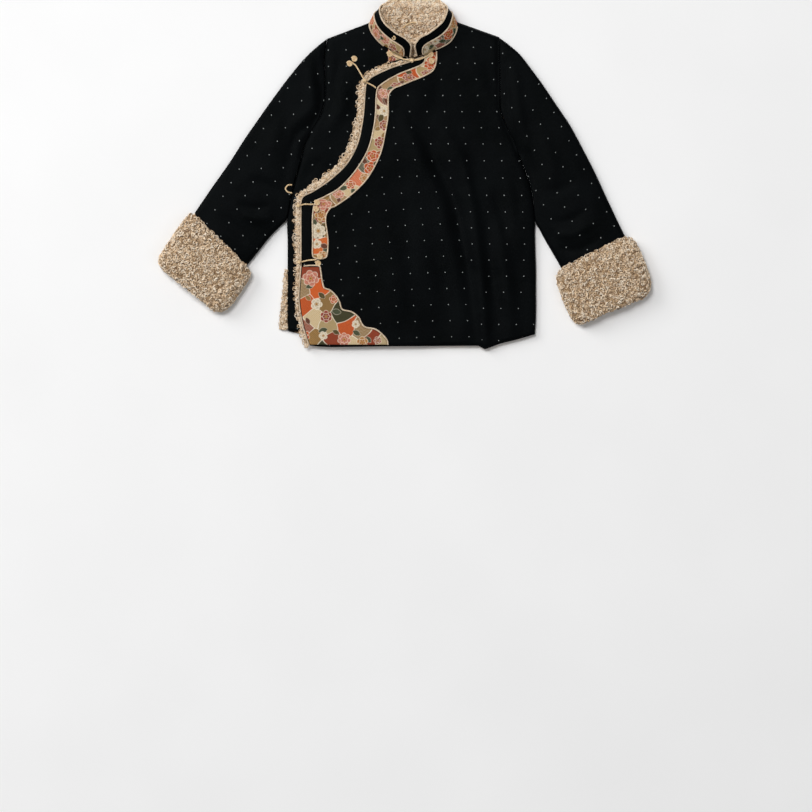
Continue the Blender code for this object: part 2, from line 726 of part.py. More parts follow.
def collar_layer(name, spans, out_from, out_to, colour):
    frames = collar_frames()
    top = [[collar_point(frame, s, out_to) for s in spans] for frame in frames]
    bottom = [[collar_point(frame, s, out_from) for s in spans] for frame in frames]
    return grid_solid(name, top, bottom, colour)


def collar_cords():
    frames = collar_frames()
    lift = COLLAR_CLOTH / 2
    rim = []
    for seam, top, normal in frames:
        along = (top - seam).normalized()
        rim.append(tuple(top + along * (EDGE_PIPING_RADIUS + 1.5 * COLLAR_SEAT) + normal * lift))
    cord_object("collar_rim_piping", rim, EDGE_PIPING_RADIUS, PIPING)
    out = COLLAR_CLOTH + COLLAR_SEAT + PIPING_RADIUS
    middle = [collar_point(frame, COLLAR_PIPING_SPAN, out) for frame in frames]
    cord_object("collar_band_piping", middle, PIPING_RADIUS, PIPING)


def neck_piping(side, height):
    """Piping that lies on a front beside the collar's seam."""
    first, last = NECK_PIPING_ROWS[side]
    seam = [row[:2] for row in COLLAR[first:last]]
    moved = shifted(seam, [NECK_PIPING_OUT] * len(seam))
    points = [(x, y, height(x, y) + SEAT + EDGE_PIPING_RADIUS) for x, y in moved]
    cord_object("neck_piping_" + side, points, EDGE_PIPING_RADIUS, PIPING)


def build_collar():
    out = COLLAR_CLOTH
    collar_layer("collar_stand", COLLAR_SPANS, 0.0, out, BLACK_COTTON)
    collar_layer("collar_lining", COLLAR_SPANS, -COLLAR_SEAT - COLLAR_LINING, -COLLAR_SEAT, FLEECE)
    out += COLLAR_SEAT
    collar_layer("collar_brocade", COLLAR_BAND_SPANS, out, out + BAND_THICKNESS, BROCADE)
    collar_cords()
    neck_piping("left", under_top)
    neck_piping("right", over_top)


def build_neck_lining():
    """The back's fleece where it shows through the neck."""
    seams = [Vector(row[:2]) for row in COLLAR]
    centre = sum(seams, Vector((0.0, 0.0))) / len(seams)
    data = bpy.data.curves.new("neck_lining", "CURVE")
    data.dimensions = "2D"
    data.fill_mode = "BOTH"
    data.extrude = LINING_THICKNESS / 2 * MM
    spline = data.splines.new("POLY")
    spline.points.add(len(seams) - 1)
    for target, seam in zip(spline.points, seams):
        inward = (centre - seam).normalized() * LINING_INSET
        target.co = ((seam.x + inward.x) * MM, (seam.y + inward.y) * MM, 0.0, 1.0)
    spline.use_cyclic_u = True
    made = add_object("neck_lining", data, FLEECE)
    made.location.z = (BACK_TOP + SEAT + LINING_THICKNESS / 2) * MM


# Placket, hem corner and slit.


def placket_line(column, first, last):
    return [row[column : column + 2] for row in OVER_FRONT[first : last + 1]]


def band(name, inner_line, outer_line, inset_start, inset_end, colour):
    """A band that lies on the over front between two of its lines."""
    rows = []
    for a, b in zip(inner_line, outer_line):
        length = math.dist(a, b)
        places = (inset_start / length, 0.5, 1 - inset_end / length)
        rows.append(section_line(a, b, places))
    return panel(
        name,
        rows,
        lambda x, y: over_top(x, y) + SEAT + BAND_THICKNESS,
        lambda x, y: over_top(x, y) + SEAT,
        colour,
    )


def build_placket():
    inset = PIPING_RADIUS + SEAT
    edge = placket_line(0, FIRST_BAND_ROW, LAST_BAND_ROW)
    middle = placket_line(2, FIRST_BAND_ROW, LAST_BAND_ROW)
    band("placket_black_band", edge, middle, SEAT, inset, BLACK_COTTON)
    brocade_middle = placket_line(2, FIRST_BROCADE_ROW, LAST_BAND_ROW)
    brocade_outer = placket_line(4, FIRST_BROCADE_ROW, LAST_BAND_ROW)
    band("placket_brocade_band", brocade_middle, brocade_outer, inset, inset, BROCADE)

    lift = SEAT + PIPING_RADIUS
    end_x = lerp(brocade_middle[0][0], brocade_outer[0][0], 0.5)
    end_y = brocade_middle[0][1] - BAND_END
    round_end = [(end_x - BAND_END, end_y + 1), (end_x, end_y), (end_x + BAND_END, end_y + 1)]
    loop = brocade_middle[::-1] + round_end + brocade_outer
    points = [(x, y, over_top(x, y) + lift) for x, y in loop]
    cord_object("placket_brocade_piping", points, PIPING_RADIUS, PIPING)

    edge_line = placket_line(0, 0, LAST_BAND_ROW)
    beside = shifted(edge_line, [EDGE_PIPING_RADIUS + SEAT] * len(edge_line))
    height = OVER_BOTTOM_ON_UNDER + WALL - EDGE_PIPING_RADIUS / 2
    cord_object("placket_edge_piping", [(x, y, height) for x, y in beside], EDGE_PIPING_RADIUS, PIPING)

    reach = [row[7] for row in OVER_FRONT[: LAST_BAND_ROW + 1]]
    near = shifted(edge_line, [FLEECE_START] * len(edge_line))
    far = shifted(edge_line, reach)
    rows = [section_line(a, b, (0.0, 0.5, 1.0)) for a, b in zip(near, far)][:-1]
    floor = UNDER_BOTTOM + WALL + SEAT
    crest = OVER_BOTTOM_ON_UNDER + WALL - FLEECE_BELOW_CLOTH
    lip = floor + FLEECE_LIP
    top = [[(a[0], a[1], crest), (b[0], b[1], crest), (c[0], c[1], lip)] for a, b, c in rows]
    bottom = [[(x, y, floor) for x, y in row] for row in rows]
    grid_solid("placket_fleece", top, bottom, FLEECE)


def flat_outline(name, points, low, thickness, colour):
    """A flat piece cut to an outline: a filled curve with a thickness."""
    data = bpy.data.curves.new(name, "CURVE")
    data.dimensions = "2D"
    data.fill_mode = "BOTH"
    data.extrude = thickness / 2 * MM
    spline = data.splines.new("POLY")
    spline.points.add(len(points) - 1)
    for target, (x, y) in zip(spline.points, points):
        target.co = (x * MM, y * MM, 0.0, 1.0)
    spline.use_cyclic_u = True
    made = add_object(name, data, colour)
    made.location.z = (low + thickness / 2) * MM
    return made


def build_hem_corner():
    low = OVER_BOTTOM_ON_UNDER + WALL + SEAT
    outline = CORNER_LEFT + CORNER_EDGE
    flat_outline("hem_corner_brocade", outline, low + CORNER_LIFT, BAND_THICKNESS, BROCADE)
    beside = shifted(CORNER_EDGE, [PIPING_RADIUS + SEAT] * len(CORNER_EDGE))
    points = [(x, y, low + CORNER_PIPING_LIFT) for x, y in beside]
    cord_object("hem_corner_piping", points, PIPING_RADIUS, PIPING)


def build_slit_fleece():
    middle = lerp(SLIT_X[0], SLIT_X[1], 0.5)
    rows = [[(SLIT_X[0], y), (middle, y), (SLIT_X[1], y)] for y in SLIT_Y]
    top = [[(x, y, z) for (x, y), z in zip(row, SLIT_HEIGHTS)] for row in rows]
    bottom = [[(x, y, 0.0) for x, y in row] for row in rows]
    grid_solid("slit_fleece", top, bottom, FLEECE)


def build_under_strip():
    low = UNDER_BOTTOM + WALL + SEAT
    flat_outline("under_front_brocade", UNDER_STRIP, low, BAND_THICKNESS, BROCADE)


# Fasteners.


def build_fasteners():
    for name, x, y, z in COINS:
        made = bmesh.new()
        bmesh.ops.create_cone(
            made, cap_ends=True, segments=16, radius1=COIN_RADIUS * MM, radius2=COIN_TOP_RADIUS * MM,
            depth=COIN_THICKNESS * MM,
        )
        coin = mesh_object(name, made, CORD)
        coin.location = Vector((x, y, z + COIN_THICKNESS / 2)) * MM
    for name, x, y, z in KNOTS:
        made = bmesh.new()
        bmesh.ops.create_icosphere(made, subdivisions=2, radius=KNOT_RADIUS * MM)
        knot = mesh_object(name, made, CORD)
        knot.location = Vector((x, y, z)) * MM
    for name, points in CORDS.items():
        cord_object(name, smooth_route(points, 3), CORD_RADIUS, CORD)


def centre_on_origin():
    """Moves every piece so that the origin is under the middle of the whole."""
    bpy.context.view_layer.update()
    graph = bpy.context.evaluated_depsgraph_get()
    places = []
    pieces = list(bpy.data.collections[COLLECTION].objects)
    for piece in pieces:
        evaluated = piece.evaluated_get(graph)
        mesh = evaluated.to_mesh()
        places += [piece.matrix_world @ vertex.co for vertex in mesh.vertices]
        evaluated.to_mesh_clear()
    low = [min(place[axis] for place in places) for axis in range(3)]
    high = [max(place[axis] for place in places) for axis in range(3)]
    shift = Vector((-(low[0] + high[0]) / 2, -(low[1] + high[1]) / 2, -low[2]))
    for piece in pieces:
        piece.location += shift
    bpy.context.view_layer.update()
    print("moved by", [round(value / MM, 3) for value in shift])


def build():
    for old in list(bpy.data.objects):
        bpy.data.objects.remove(old, do_unlink=True)
    collection = bpy.data.collections.new(COLLECTION)
    bpy.context.scene.collection.children.link(collection)
    build_body()
    build_sleeves()
    build_collar()
    build_neck_lining()
    build_placket()
    build_hem_corner()
    build_slit_fleece()
    build_under_strip()
    build_fasteners()
    centre_on_origin()


build()
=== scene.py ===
import math

import bpy
import numpy as np
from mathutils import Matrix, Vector, noise


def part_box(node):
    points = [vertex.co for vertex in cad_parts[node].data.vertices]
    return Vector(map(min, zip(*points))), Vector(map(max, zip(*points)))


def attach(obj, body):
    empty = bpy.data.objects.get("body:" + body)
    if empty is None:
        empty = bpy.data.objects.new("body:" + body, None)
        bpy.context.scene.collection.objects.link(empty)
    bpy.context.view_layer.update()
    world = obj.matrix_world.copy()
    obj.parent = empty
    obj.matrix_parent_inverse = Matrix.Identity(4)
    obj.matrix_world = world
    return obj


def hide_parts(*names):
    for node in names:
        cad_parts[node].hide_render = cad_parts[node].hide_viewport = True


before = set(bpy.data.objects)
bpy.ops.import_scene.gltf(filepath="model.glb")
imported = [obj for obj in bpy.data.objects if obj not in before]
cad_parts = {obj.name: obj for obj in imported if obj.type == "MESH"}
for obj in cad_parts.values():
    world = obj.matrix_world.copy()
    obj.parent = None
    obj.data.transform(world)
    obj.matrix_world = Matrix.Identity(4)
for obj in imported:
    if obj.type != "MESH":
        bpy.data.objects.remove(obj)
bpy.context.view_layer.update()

# Looks of a fleece-lined top that lies flat: padded dotted cotton, fleece, brocade bands, cream piping and
# knotted cord fasteners. Lengths are millimetres of the garment, X across from its centre line, Y up from
# the hem, Z up from the surface. The back panel's own node says where that lies in the frame.

MM = 0.001
BACK_LEFT_X = -262.0
BACK_TOP_Y = 680.0
back_low, back_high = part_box("back_panel")
OFFSET = np.array([back_low.x / MM - BACK_LEFT_X, back_high.y / MM - BACK_TOP_Y, 0.0])

# Layers of the flat stack.
WALL = 5.0
EDGE_WALL = 3.0
SEAT = 0.3
BACK_TOP = 5.0
SIDE_SEAM = 5.3
UNDER_BOTTOM = 5.8
OVER_ON_UNDER = 12.5
OVER_ON_BACK = 8.6
STEP_LENGTH = 60.0
EDGE_ROUND = 14.0
BACK_EDGE_ROUND = 9.0
BACK_EDGE_LIFT = 2.2
RIM_ROUND = 4.0
BAND_RISE = 1.5

PIPING_RADIUS = 1.6
CORD_RADIUS = 1.6

# Outlines, as the cut of the solids gives them.
RIGHT_SIDE = [
    (258, 25), (260, 65), (260, 118), (260, 160), (259, 191), (258, 239), (258, 262),
    (254, 307), (247, 340), (235, 374), (225, 401),
]
RIGHT_ARMHOLE = [
    (225, 401), (212, 435), (200, 456), (186, 491), (184, 517), (184, 563), (183, 605), (183, 647),
]
LEFT_SIDE = [
    (-260, 32), (-261, 65), (-261, 118), (-261, 160), (-261, 191), (-261, 223), (-262, 267),
    (-256, 302), (-248, 338), (-239, 370), (-231, 399),
]
LEFT_ARMHOLE = [
    (-231, 399), (-223, 428), (-208, 456), (-191, 487), (-183, 521), (-182, 563), (-184, 605), (-178, 645),
]
RIGHT_SHOULDER = [(183, 647), (92, 680)]
LEFT_SHOULDER = [(-178, 645), (-86, 680)]

# Sections of the over front from the hem up: crossing edge x, y; line between the bands x, y; outer line of
# the brocade x, y; where the section meets the right side, as a height y; reach of the fleece.
OVER_FRONT = [
    (-214, 1, -193, 0, -168, 0, 25, 11), (-227, 44, -204, 42, -176, 42, 65, 9),
    (-235, 97, -210, 97, -178, 97, 118, 9), (-233, 139, -208, 139, -178, 139, 160, 11),
    (-231, 168, -208, 168, -178, 168, 191, 12), (-231, 178, -208, 178, -178, 178, 200, 13),
    (-231, 191, -208, 191, -178, 191, 215, 13), (-231, 223, -208, 223, -176, 223, 239, 13),
    (-231, 275, -208, 273, -181, 267, 262, 13), (-229, 309, -202, 302, -172, 288, 307, 11),
    (-206, 323, -183, 313, -160, 294, 340, 15), (-172, 346, -151, 332, -130, 315, 374, 16),
    (-136, 380, -118, 368, -94, 351, 401, 17), (-113, 422, -92, 412, -67, 401, 435, 16),
    (-103, 464, -80, 458, -55, 452, 456, 15), (-99, 496, -76, 491, -50, 485, 491, 15),
    (-97, 527, -75, 519, -50, 510, 517, 15), (-94, 550, -72, 540, -48, 528, 533, 14),
    (-85, 561, -63, 549, -38, 540, 548, 13), (-67, 571, -48, 559, -23, 546, 565, 12),
    (-42, 582, -25, 571, -2, 555, 582, 11), (-17, 590, -2, 580, 23, 565, 598, 9),
    (4, 597, 19, 589, 44, 578, 611, 7), (23, 604, 27, 598, 51, 598, 622, 5),
]
OVER_NECKLINE = [(48, 621, 630), (74, 636, 636), (90, 659, 642), (92, 680, 647)]
FIRST_BAND_ROW = 5
FIRST_BROCADE_ROW = 6
LAST_BAND_ROW = 23
OVER_HEM = [(-214, 1), (-57, 2), (139, 2), (153, -6), (185, 6), (216, 13), (258, 25)]
BACK_HEM = [(-260, 32), (-190, 16), (0, 9), (190, 16), (258, 25)]
UNDER_FRONT = [
    (32, 0, 6), (65, 0, 45), (118, 0, 105), (160, 0, 150), (191, 0, 185), (223, 0, 220), (267, 0, 265),
    (302, 0, 300), (338, 0, 335), (370, 0, 368), (399, 0, 398), (428, 0, 430), (456, 0, 462),
    (487, 0, 500), (521, 0, 545), (563, 0, 601), (580, -21, 607), (593, -34, 614), (605, -46, 624),
    (616, -58, 631), (626, -70, 642), (634, -81, 656), (640, -86, 670), (645, -86, 680),
]
BACK_NECKLINE = [(-86, 680), (-63, 675), (-34, 671), (2, 670), (38, 671), (67, 675), (92, 680)]

# Main folds, which the solids have as well: their line, half width and height.
OVER_FOLDS = [
    ([(-25, 490), (40, 390), (84, 307), (110, 180), (150, -50)], 15, -1.6),
    ([(45, 425), (128, 282)], 20, 2.6), ([(106, 370), (118, 280), (153, -2), (160, -60)], 13, 6.0),
    ([(174, 340), (200, 230)], 16, -1.2), ([(203, 350), (224, 180)], 16, 2.6),
    ([(150, 560), (205, 440)], 16, 2.0), ([(-64, 320), (-16, 60)], 30, 1.6), ([(18, 270), (42, 40)], 26, 1.4),
]
UNDER_FOLDS = [
    ([(-172, 610), (-150, 500), (-192, 436)], 14, 2.4), ([(-220, 413), (-170, 382)], 10, 1.8),
]

# Sleeves: upper edge x, y; lower edge x, y; rise of the middle.
RIGHT_SLEEVE = [
    (183, 647, 225, 401, 0.0), (202, 633, 235, 374, 1.5), (225, 613, 247, 340, 2.5),
    (248, 584, 254, 307, 3.0), (273, 550, 258, 262, 3.5), (302, 507, 267, 245, 4.0),
    (332, 462, 275, 229, 4.5), (359, 412, 286, 210, 4.5), (385, 361, 296, 193, 5.0),
    (414, 298, 306, 176, 5.5), (449, 225, 315, 160, 6.0),
]
LEFT_SLEEVE = [
    (-178, 645, -231, 399, 0.0), (-197, 630, -239, 370, 1.5), (-216, 613, -248, 338, 2.5),
    (-239, 588, -256, 302, 3.0), (-269, 550, -262, 267, 3.5), (-299, 509, -277, 250, 4.0),
    (-323, 475, -294, 233, 4.5), (-352, 433, -309, 215, 4.5), (-382, 386, -323, 197, 5.0),
    (-420, 332, -336, 181, 5.5), (-460, 273, -349, 166, 6.0),
]
SLEEVE_MIDDLE = 6.7
SLEEVE_HOLLOW = 1.7
SLEEVE_EDGE_ROUND = 10.0
ARMHOLE_FADE = [1.0, 0.55, 0.2]

# Cuffs: upper edge x, y; lower edge x, y; height above and below the middle.
RIGHT_CUFF = [
    (466, 217, 305, 141, 15, 13), (484, 178, 315, 105, 18, 14), (496, 143, 328, 76, 18, 14),
    (496, 118, 340, 55, 16, 14), (482, 101, 353, 47, 10, 11),
]
LEFT_CUFF = [
    (-480, 258, -341, 149, 15, 13), (-506, 220, -361, 116, 18, 14), (-527, 187, -383, 86, 18, 14),
    (-527, 172, -401, 75, 16, 14), (-516, 157, -414, 76, 10, 11),
]
CUFF_MIDDLE = 14.0
CUFF_HOLLOW = 1.7
CUFF_EDGE_WALL = 10.0
CUFF_EDGE_ROUND = 20.0

# Collar, from its left front end round the back: neck seam x, y, z; top edge x, y, z.
COLLAR = [
    (-5, 606, 16, -2, 629, 42), (-21, 611, 15.5, -13, 640, 44), (-34, 617, 15, -23, 646, 44),
    (-46, 626, 14.5, -34, 652, 43), (-57, 633, 14, -44, 660, 42), (-69, 644, 14, -55, 670, 40),
    (-80, 658, 13.5, -62, 680, 38), (-85, 670, 12.5, -66, 690, 34), (-85, 679, 10.5, -68, 700, 28),
    (-78, 683, 8.5, -66, 709, 21), (-63, 678, 7, -57, 716, 14), (-34, 674, 6.5, -34, 719, 11),
    (2, 673, 6.5, 2, 720, 10), (38, 674, 6.5, 38, 719, 11), (67, 678, 7, 63, 716, 14),
    (82, 683, 8.5, 72, 710, 21), (90, 680, 10.5, 74, 701, 28), (91, 670, 13.5, 71, 690, 34),
    (87, 656, 15, 65, 677, 38), (77, 641, 15.2, 55, 667, 40), (63, 632, 15.5, 44, 658, 42),
    (47, 625, 17.5, 32, 650, 43), (29, 614, 19, 17, 642, 44), (11, 608, 20, 6, 629, 42),
]
COLLAR_CLOTH = 2.5
COLLAR_SEAT = 0.7
COLLAR_LINING = 5.0
COLLAR_BULGE = 2.0
BROCADE_SPAN = (-0.03, 0.55)
BROCADE_START = 13.5
COLLAR_PIPING_SPAN = 0.60
NECK_PIPING_OUT = 4.0
NECK_PIPING_ROWS = {"left": (4, 9), "right": (17, 22)}

CORNER_LEFT = [(-214, 3), (-226, 44), (-234, 97), (-232, 139), (-230, 166)]
CORNER_EDGE = [
    (-195, 166), (-193, 158), (-191, 143), (-188, 128), (-184, 120), (-173, 116), (-161, 105),
    (-153, 91), (-150, 80), (-144, 74), (-127, 70), (-113, 59), (-107, 47), (-98, 38), (-78, 34),
    (-63, 23), (-54, 12), (-52, 3),
]
UNDER_STRIP = [[(-50, 595), (-36, 598.5), (-20, 603)], [(-50, 623), (-36, 615.5), (-20, 607.5)]]

COINS = [
    ("neck_coin_left", -47, 612, 12.5), ("neck_coin_upper", 39, 611, 16.9),
    ("neck_coin_lower", 41, 597, 16.8), ("shoulder_coin_outer", -131, 592, 11.4),
    ("shoulder_coin_inner", -121, 602, 11.4), ("armpit_coin_upper", -199, 300, 21.0),
    ("armpit_coin_lower", -201, 286.5, 21.0), ("waist_coin_upper", -193, 187, 21.0),
    ("waist_coin_lower", -197, 173, 18.3),
]
COIN_OUTER = 7.4
COIN_CORD = 1.25
KNOTS = [
    ("neck_knot", 0, 598, 23.2), ("shoulder_knot", -99, 556, 23.2),
    ("armpit_knot", -238, 294, 22.4), ("waist_knot", -236, 176, 22.4),
]
KNOT_RADIUS = 4.8
CORDS = {
    "neck_cord_left": [(-42, 611.5, 17.1), (-30, 605, 19.5), (-18, 601, 21.5), (-5, 598.4, 23)],
    "neck_cord_right": [(5, 598.4, 22.6), (14, 600, 20.4), (24, 604, 19.4), (32.6, 608.8, 18.9)],
    "shoulder_cord_outer": [(-127, 595.5, 15.9), (-118, 588, 16.6), (-110, 575, 20), (-101.5, 560.3, 22.6)],
    "shoulder_cord_inner": [(-95.9, 552.2, 22.1), (-89, 549, 21.0), (-81, 545, 20.9), (-76, 541, 20.9)],
    "armpit_cord": [(-233, 294.6, 22.0), (-226, 297, 21), (-216, 297, 20.9), (-207, 297, 20.9)],
    "waist_cord": [(-231.1, 176.3, 21.6), (-225, 178, 20.9), (-215, 180, 20.9), (-200.8, 181, 22.2)],
    "side_loop": [
        (-252, 338, 15.8), (-260, 337, 17.4), (-265, 330, 17.8), (-260, 323, 17.6), (-252, 321, 15.8),
    ],
    "hang_loop": [(-17, 667, 14.6), (-13, 672, 17.0), (-6, 676, 18.2), (2, 678, 18.2), (8, 677, 16.4)],
}

# Dots of the cotton: a near square grid, 36.6 mm across and 33.7 mm down, each dot about 2.3 mm wide.
DOT_ACROSS = 36.6
DOT_DOWN = 33.7
DOT_RADIUS = 1.05


# Lines and heights.


def lerp(a, b, t):
    return a + (b - a) * t


def smooth(t):
    t = np.clip(t, 0.0, 1.0)
    return t * t * (3 - 2 * t)


def quarter_round(distance, reach):
    t = np.clip(distance / reach, 0.0, 1.0)
    return np.sqrt(1 - (1 - t) ** 2)


def curve_at(points, places):
    """Places along a smooth curve through the points, where whole numbers are the points themselves."""
    p = np.asarray(points, float)
    p = np.vstack([2 * p[0] - p[1], p, 2 * p[-1] - p[-2]])
    k = np.clip(np.floor(places).astype(int), 0, len(points) - 2)
    t = (np.asarray(places) - k)[:, None]
    a, b, c, d = p[k], p[k + 1], p[k + 2], p[k + 3]
    return b + 0.5 * t * (c - a + t * (2 * a - 5 * b + 4 * c - d + t * (3 * (b - c) + d - a)))


def lengths_along(line):
    """How far along a line each of its points lies."""
    return np.concatenate([[0], np.cumsum(np.linalg.norm(np.diff(line, axis=0), axis=1))])


def spaced_places(points, step):
    """Places on a curve about a step apart, with its first and last point."""
    rough = np.linspace(0, len(points) - 1, 24 * len(points))
    line = curve_at(points, rough)
    along = lengths_along(line)
    count = max(3, int(round(along[-1] / step)) + 1)
    return np.interp(np.linspace(0, along[-1], count), along, rough)


def fine_line(points, step):
    return curve_at(points, spaced_places(points, step))


def segment_distance(x, y, a, b):
    dx, dy = b[0] - a[0], b[1] - a[1]
    t = np.clip(((x - a[0]) * dx + (y - a[1]) * dy) / (dx * dx + dy * dy), 0, 1)
    return np.hypot(x - a[0] - t * dx, y - a[1] - t * dy)


def line_distance(x, y, line):
    return np.min([segment_distance(x, y, a, b) for a, b in zip(line, line[1:])], axis=0)


def inside(x, y, outline):
    """Whether each place is inside a closed outline."""
    found = np.zeros(np.shape(x), bool)
    for (ax, ay), (bx, by) in zip(outline, outline[1:] + outline[:1]):
        crosses = (ay > y) != (by > y)
        with np.errstate(divide="ignore", invalid="ignore"):
            at = ax + (y - ay) * (bx - ax) / (by - ay)
        found ^= crosses & (x < at)
    return found


def outward_normals(line):
    line = np.asarray(line, float)
    run = np.gradient(line[:, :2], axis=0)
    run /= np.linalg.norm(run, axis=1)[:, None]
    return np.stack([-run[:, 1], run[:, 0]], axis=1)


def crease_sum(x, y, creases):
    """Soft troughs and ridges along curved lines, each dying out at its ends."""
    total = np.zeros(np.shape(x))
    for points, width, height in creases:
        line = fine_line(points, 8.0)
        best = np.full(np.shape(x), 1e9)
        share = np.zeros(np.shape(x))
        for k, (a, b) in enumerate(zip(line, line[1:])):
            run = b - a
            t = np.clip(((x - a[0]) * run[0] + (y - a[1]) * run[1]) / (run @ run), 0, 1)
            away = np.hypot(x - a[0] - t * run[0], y - a[1] - t * run[1])
            share = np.where(away < best, (k + t) / (len(line) - 1), share)
            best = np.minimum(best, away)
        ends = np.sin(math.pi * share) ** 0.8
        spread = width * (0.75 + 0.5 * ends)
        total += height * ends * np.exp(-((best / spread) ** 2))
    return total


def unevenness(points, scale, seed):
    """Noise from -1 to 1 at each point, with lumps of about the given size."""
    move = Vector((seed * 7.3, seed * 3.1, seed * 5.7))
    return np.array([noise.noise(Vector(p) / scale + move) for p in points])


def over_flat(x):
    return lerp(OVER_ON_UNDER, OVER_ON_BACK, smooth(x / STEP_LENGTH))


def over_rise(x, y):
    away = np.minimum(line_distance(x, y, RIGHT_SIDE), line_distance(x, y, RIGHT_SHOULDER))
    return quarter_round(away, EDGE_ROUND)


def over_top(x, y):
    rise = over_rise(x, y)
    return lerp(SIDE_SEAM + EDGE_WALL, over_flat(x) + WALL, rise) + crease_sum(x, y, OVER_FOLDS) * rise


def over_bottom(x, y):
    return lerp(SIDE_SEAM, over_flat(x), over_rise(x, y))


def under_rise(x, y):
    away = np.minimum(line_distance(x, y, LEFT_SIDE), line_distance(x, y, LEFT_SHOULDER))
    return quarter_round(away, EDGE_ROUND)


def under_top(x, y):
    rise = under_rise(x, y)
    return lerp(SIDE_SEAM + EDGE_WALL, UNDER_BOTTOM + WALL, rise) + crease_sum(x, y, UNDER_FOLDS) * rise


def under_bottom(x, y):
    return lerp(SIDE_SEAM, UNDER_BOTTOM, under_rise(x, y))


# Materials.


def linear(colour):
    """An sRGB hex colour as linear red, green, blue and alpha."""
    found = []
    for k in (1, 3, 5):
        value = int(colour[k : k + 2], 16) / 255
        found.append(value / 12.92 if value <= 0.04045 else ((value + 0.055) / 1.055) ** 2.4)
    return (*found, 1.0)


def add(tree, kind, inputs=None, **settings):
    """Adds a node with its settings. An input is a value, or another node's output, which is linked."""
    node = tree.nodes.new(kind)
    for key, value in settings.items():
        setattr(node, key, value)
    for key, value in (inputs or {}).items():
        if isinstance(value, bpy.types.NodeSocket):
            tree.links.new(value, node.inputs[key])
        else:
            node.inputs[key].default_value = value
    return node


def new_material(name):
    made = bpy.data.materials.new(name)
    made.use_nodes = True
    made.node_tree.nodes.clear()
    return made, made.node_tree


def ramp(tree, factor, stops):
    node = add(tree, "ShaderNodeValToRGB", {"Fac": factor})
    elements = node.color_ramp.elements
    while len(elements) < len(stops):
        elements.new(0.5)
    for element, (place, colour) in zip(elements, stops):
        element.position = place
        element.color = linear(colour)
    return node.outputs["Color"]


def finish_material(tree, inputs):
    shader = add(tree, "ShaderNodeBsdfPrincipled", inputs)
    add(tree, "ShaderNodeOutputMaterial", {"Surface": shader.outputs["BSDF"]})


def noise_of(tree, place, scale, detail):
    return add(tree, "ShaderNodeTexNoise", {"Vector": place, "Scale": scale, "Detail": detail}).outputs["Fac"]


def bump_of(tree, height, strength, distance, **settings):
    inputs = {"Height": height, "Strength": strength, "Distance": distance}
    return add(tree, "ShaderNodeBump", inputs, **settings).outputs[0]


def thread_height(tree, uv, pitch_mm):
    """Height of a plain weave on the UV map: crossing threads, each pitch wide."""
    turns = 2 * math.pi / (pitch_mm * MM)
    scaled = add(tree, "ShaderNodeVectorMath", {0: uv, 1: (turns, turns, 0)}, operation="MULTIPLY")
    waves = add(tree, "ShaderNodeVectorMath", {0: scaled.outputs[0]}, operation="SINE")
    parts = add(tree, "ShaderNodeSeparateXYZ", {0: waves.outputs[0]})
    return add(tree, "ShaderNodeMath", {0: parts.outputs[0], 1: parts.outputs[1]}, operation="MULTIPLY").outputs[0]


def cotton_material(name, dotted):
    """Brushed cotton, woven and dyed black: matt, with a soft blue-grey bloom and slight shade changes. The
    dots are woven cream threads. Threads are 0.4 mm, drawn 0.8 mm wide so that they show at all."""
    made, tree = new_material(name)
    uv = add(tree, "ShaderNodeUVMap", uv_map="UVMap").outputs["UV"]
    place = add(tree, "ShaderNodeTexCoord").outputs["Object"]
    broad = noise_of(tree, place, 9.0, 3.0)
    fine = noise_of(tree, place, 420.0, 2.0)
    cloth = ramp(tree, broad, [(0.3, "#020303"), (0.55, "#050607"), (0.75, "#07090a")])
    lint = ramp(tree, fine, [(0.35, "#000000"), (0.62, "#020304"), (0.8, "#0d1014")])
    mixed = add(tree, "ShaderNodeMix", {0: 0.6, 6: cloth, 7: lint}, data_type="RGBA", blend_type="ADD")
    colour = mixed.outputs[2]
    weave = thread_height(tree, uv, 0.8)
    height = weave
    if dotted:
        cells = add(
            tree, "ShaderNodeVectorMath",
            {0: uv, 1: (1 / (DOT_ACROSS * MM), 1 / (DOT_DOWN * MM), 0), 2: (0.5, 0.5, 0)},
            operation="MULTIPLY_ADD",
        )
        part = add(tree, "ShaderNodeVectorMath", {0: cells.outputs[0]}, operation="FRACTION")
        away = add(
            tree, "ShaderNodeVectorMath",
            {0: part.outputs[0], 1: (DOT_ACROSS, DOT_DOWN, 0), 2: (-DOT_ACROSS / 2, -DOT_DOWN / 2, 0)},
            operation="MULTIPLY_ADD",
        )
        far = add(tree, "ShaderNodeVectorMath", {0: away.outputs[0]}, operation="LENGTH").outputs["Value"]
        ragged = add(tree, "ShaderNodeMath", {0: fine, 1: 0.9, 2: far}, operation="MULTIPLY_ADD")
        dot = add(
            tree, "ShaderNodeMapRange",
            {"Value": ragged.outputs[0], 1: DOT_RADIUS + 0.62, 2: DOT_RADIUS + 0.25, 3: 0.0, 4: 1.0},
        ).outputs[0]
        cream = add(
            tree, "ShaderNodeMix", {0: dot, 6: colour, 7: linear("#8f9492")}, data_type="RGBA"
        )
        colour = cream.outputs[2]
        height = add(tree, "ShaderNodeMath", {0: dot, 1: 2.0, 2: weave}, operation="MULTIPLY_ADD").outputs[0]
    bump = bump_of(tree, height, 0.35, 0.00012)
    rough = add(tree, "ShaderNodeMapRange", {"Value": broad, 1: 0.3, 2: 0.7, 3: 0.42, 4: 0.48})
    finish_material(tree, {
        "Base Color": colour, "Roughness": rough.outputs[0], "Specular IOR Level": 0.036,
        "Specular Tint": linear("#cfdada"), "Sheen Weight": 0.006, "Sheen Roughness": 0.4,
        "Sheen Tint": linear("#8fa0ad"), "Normal": bump,
    })
    return made


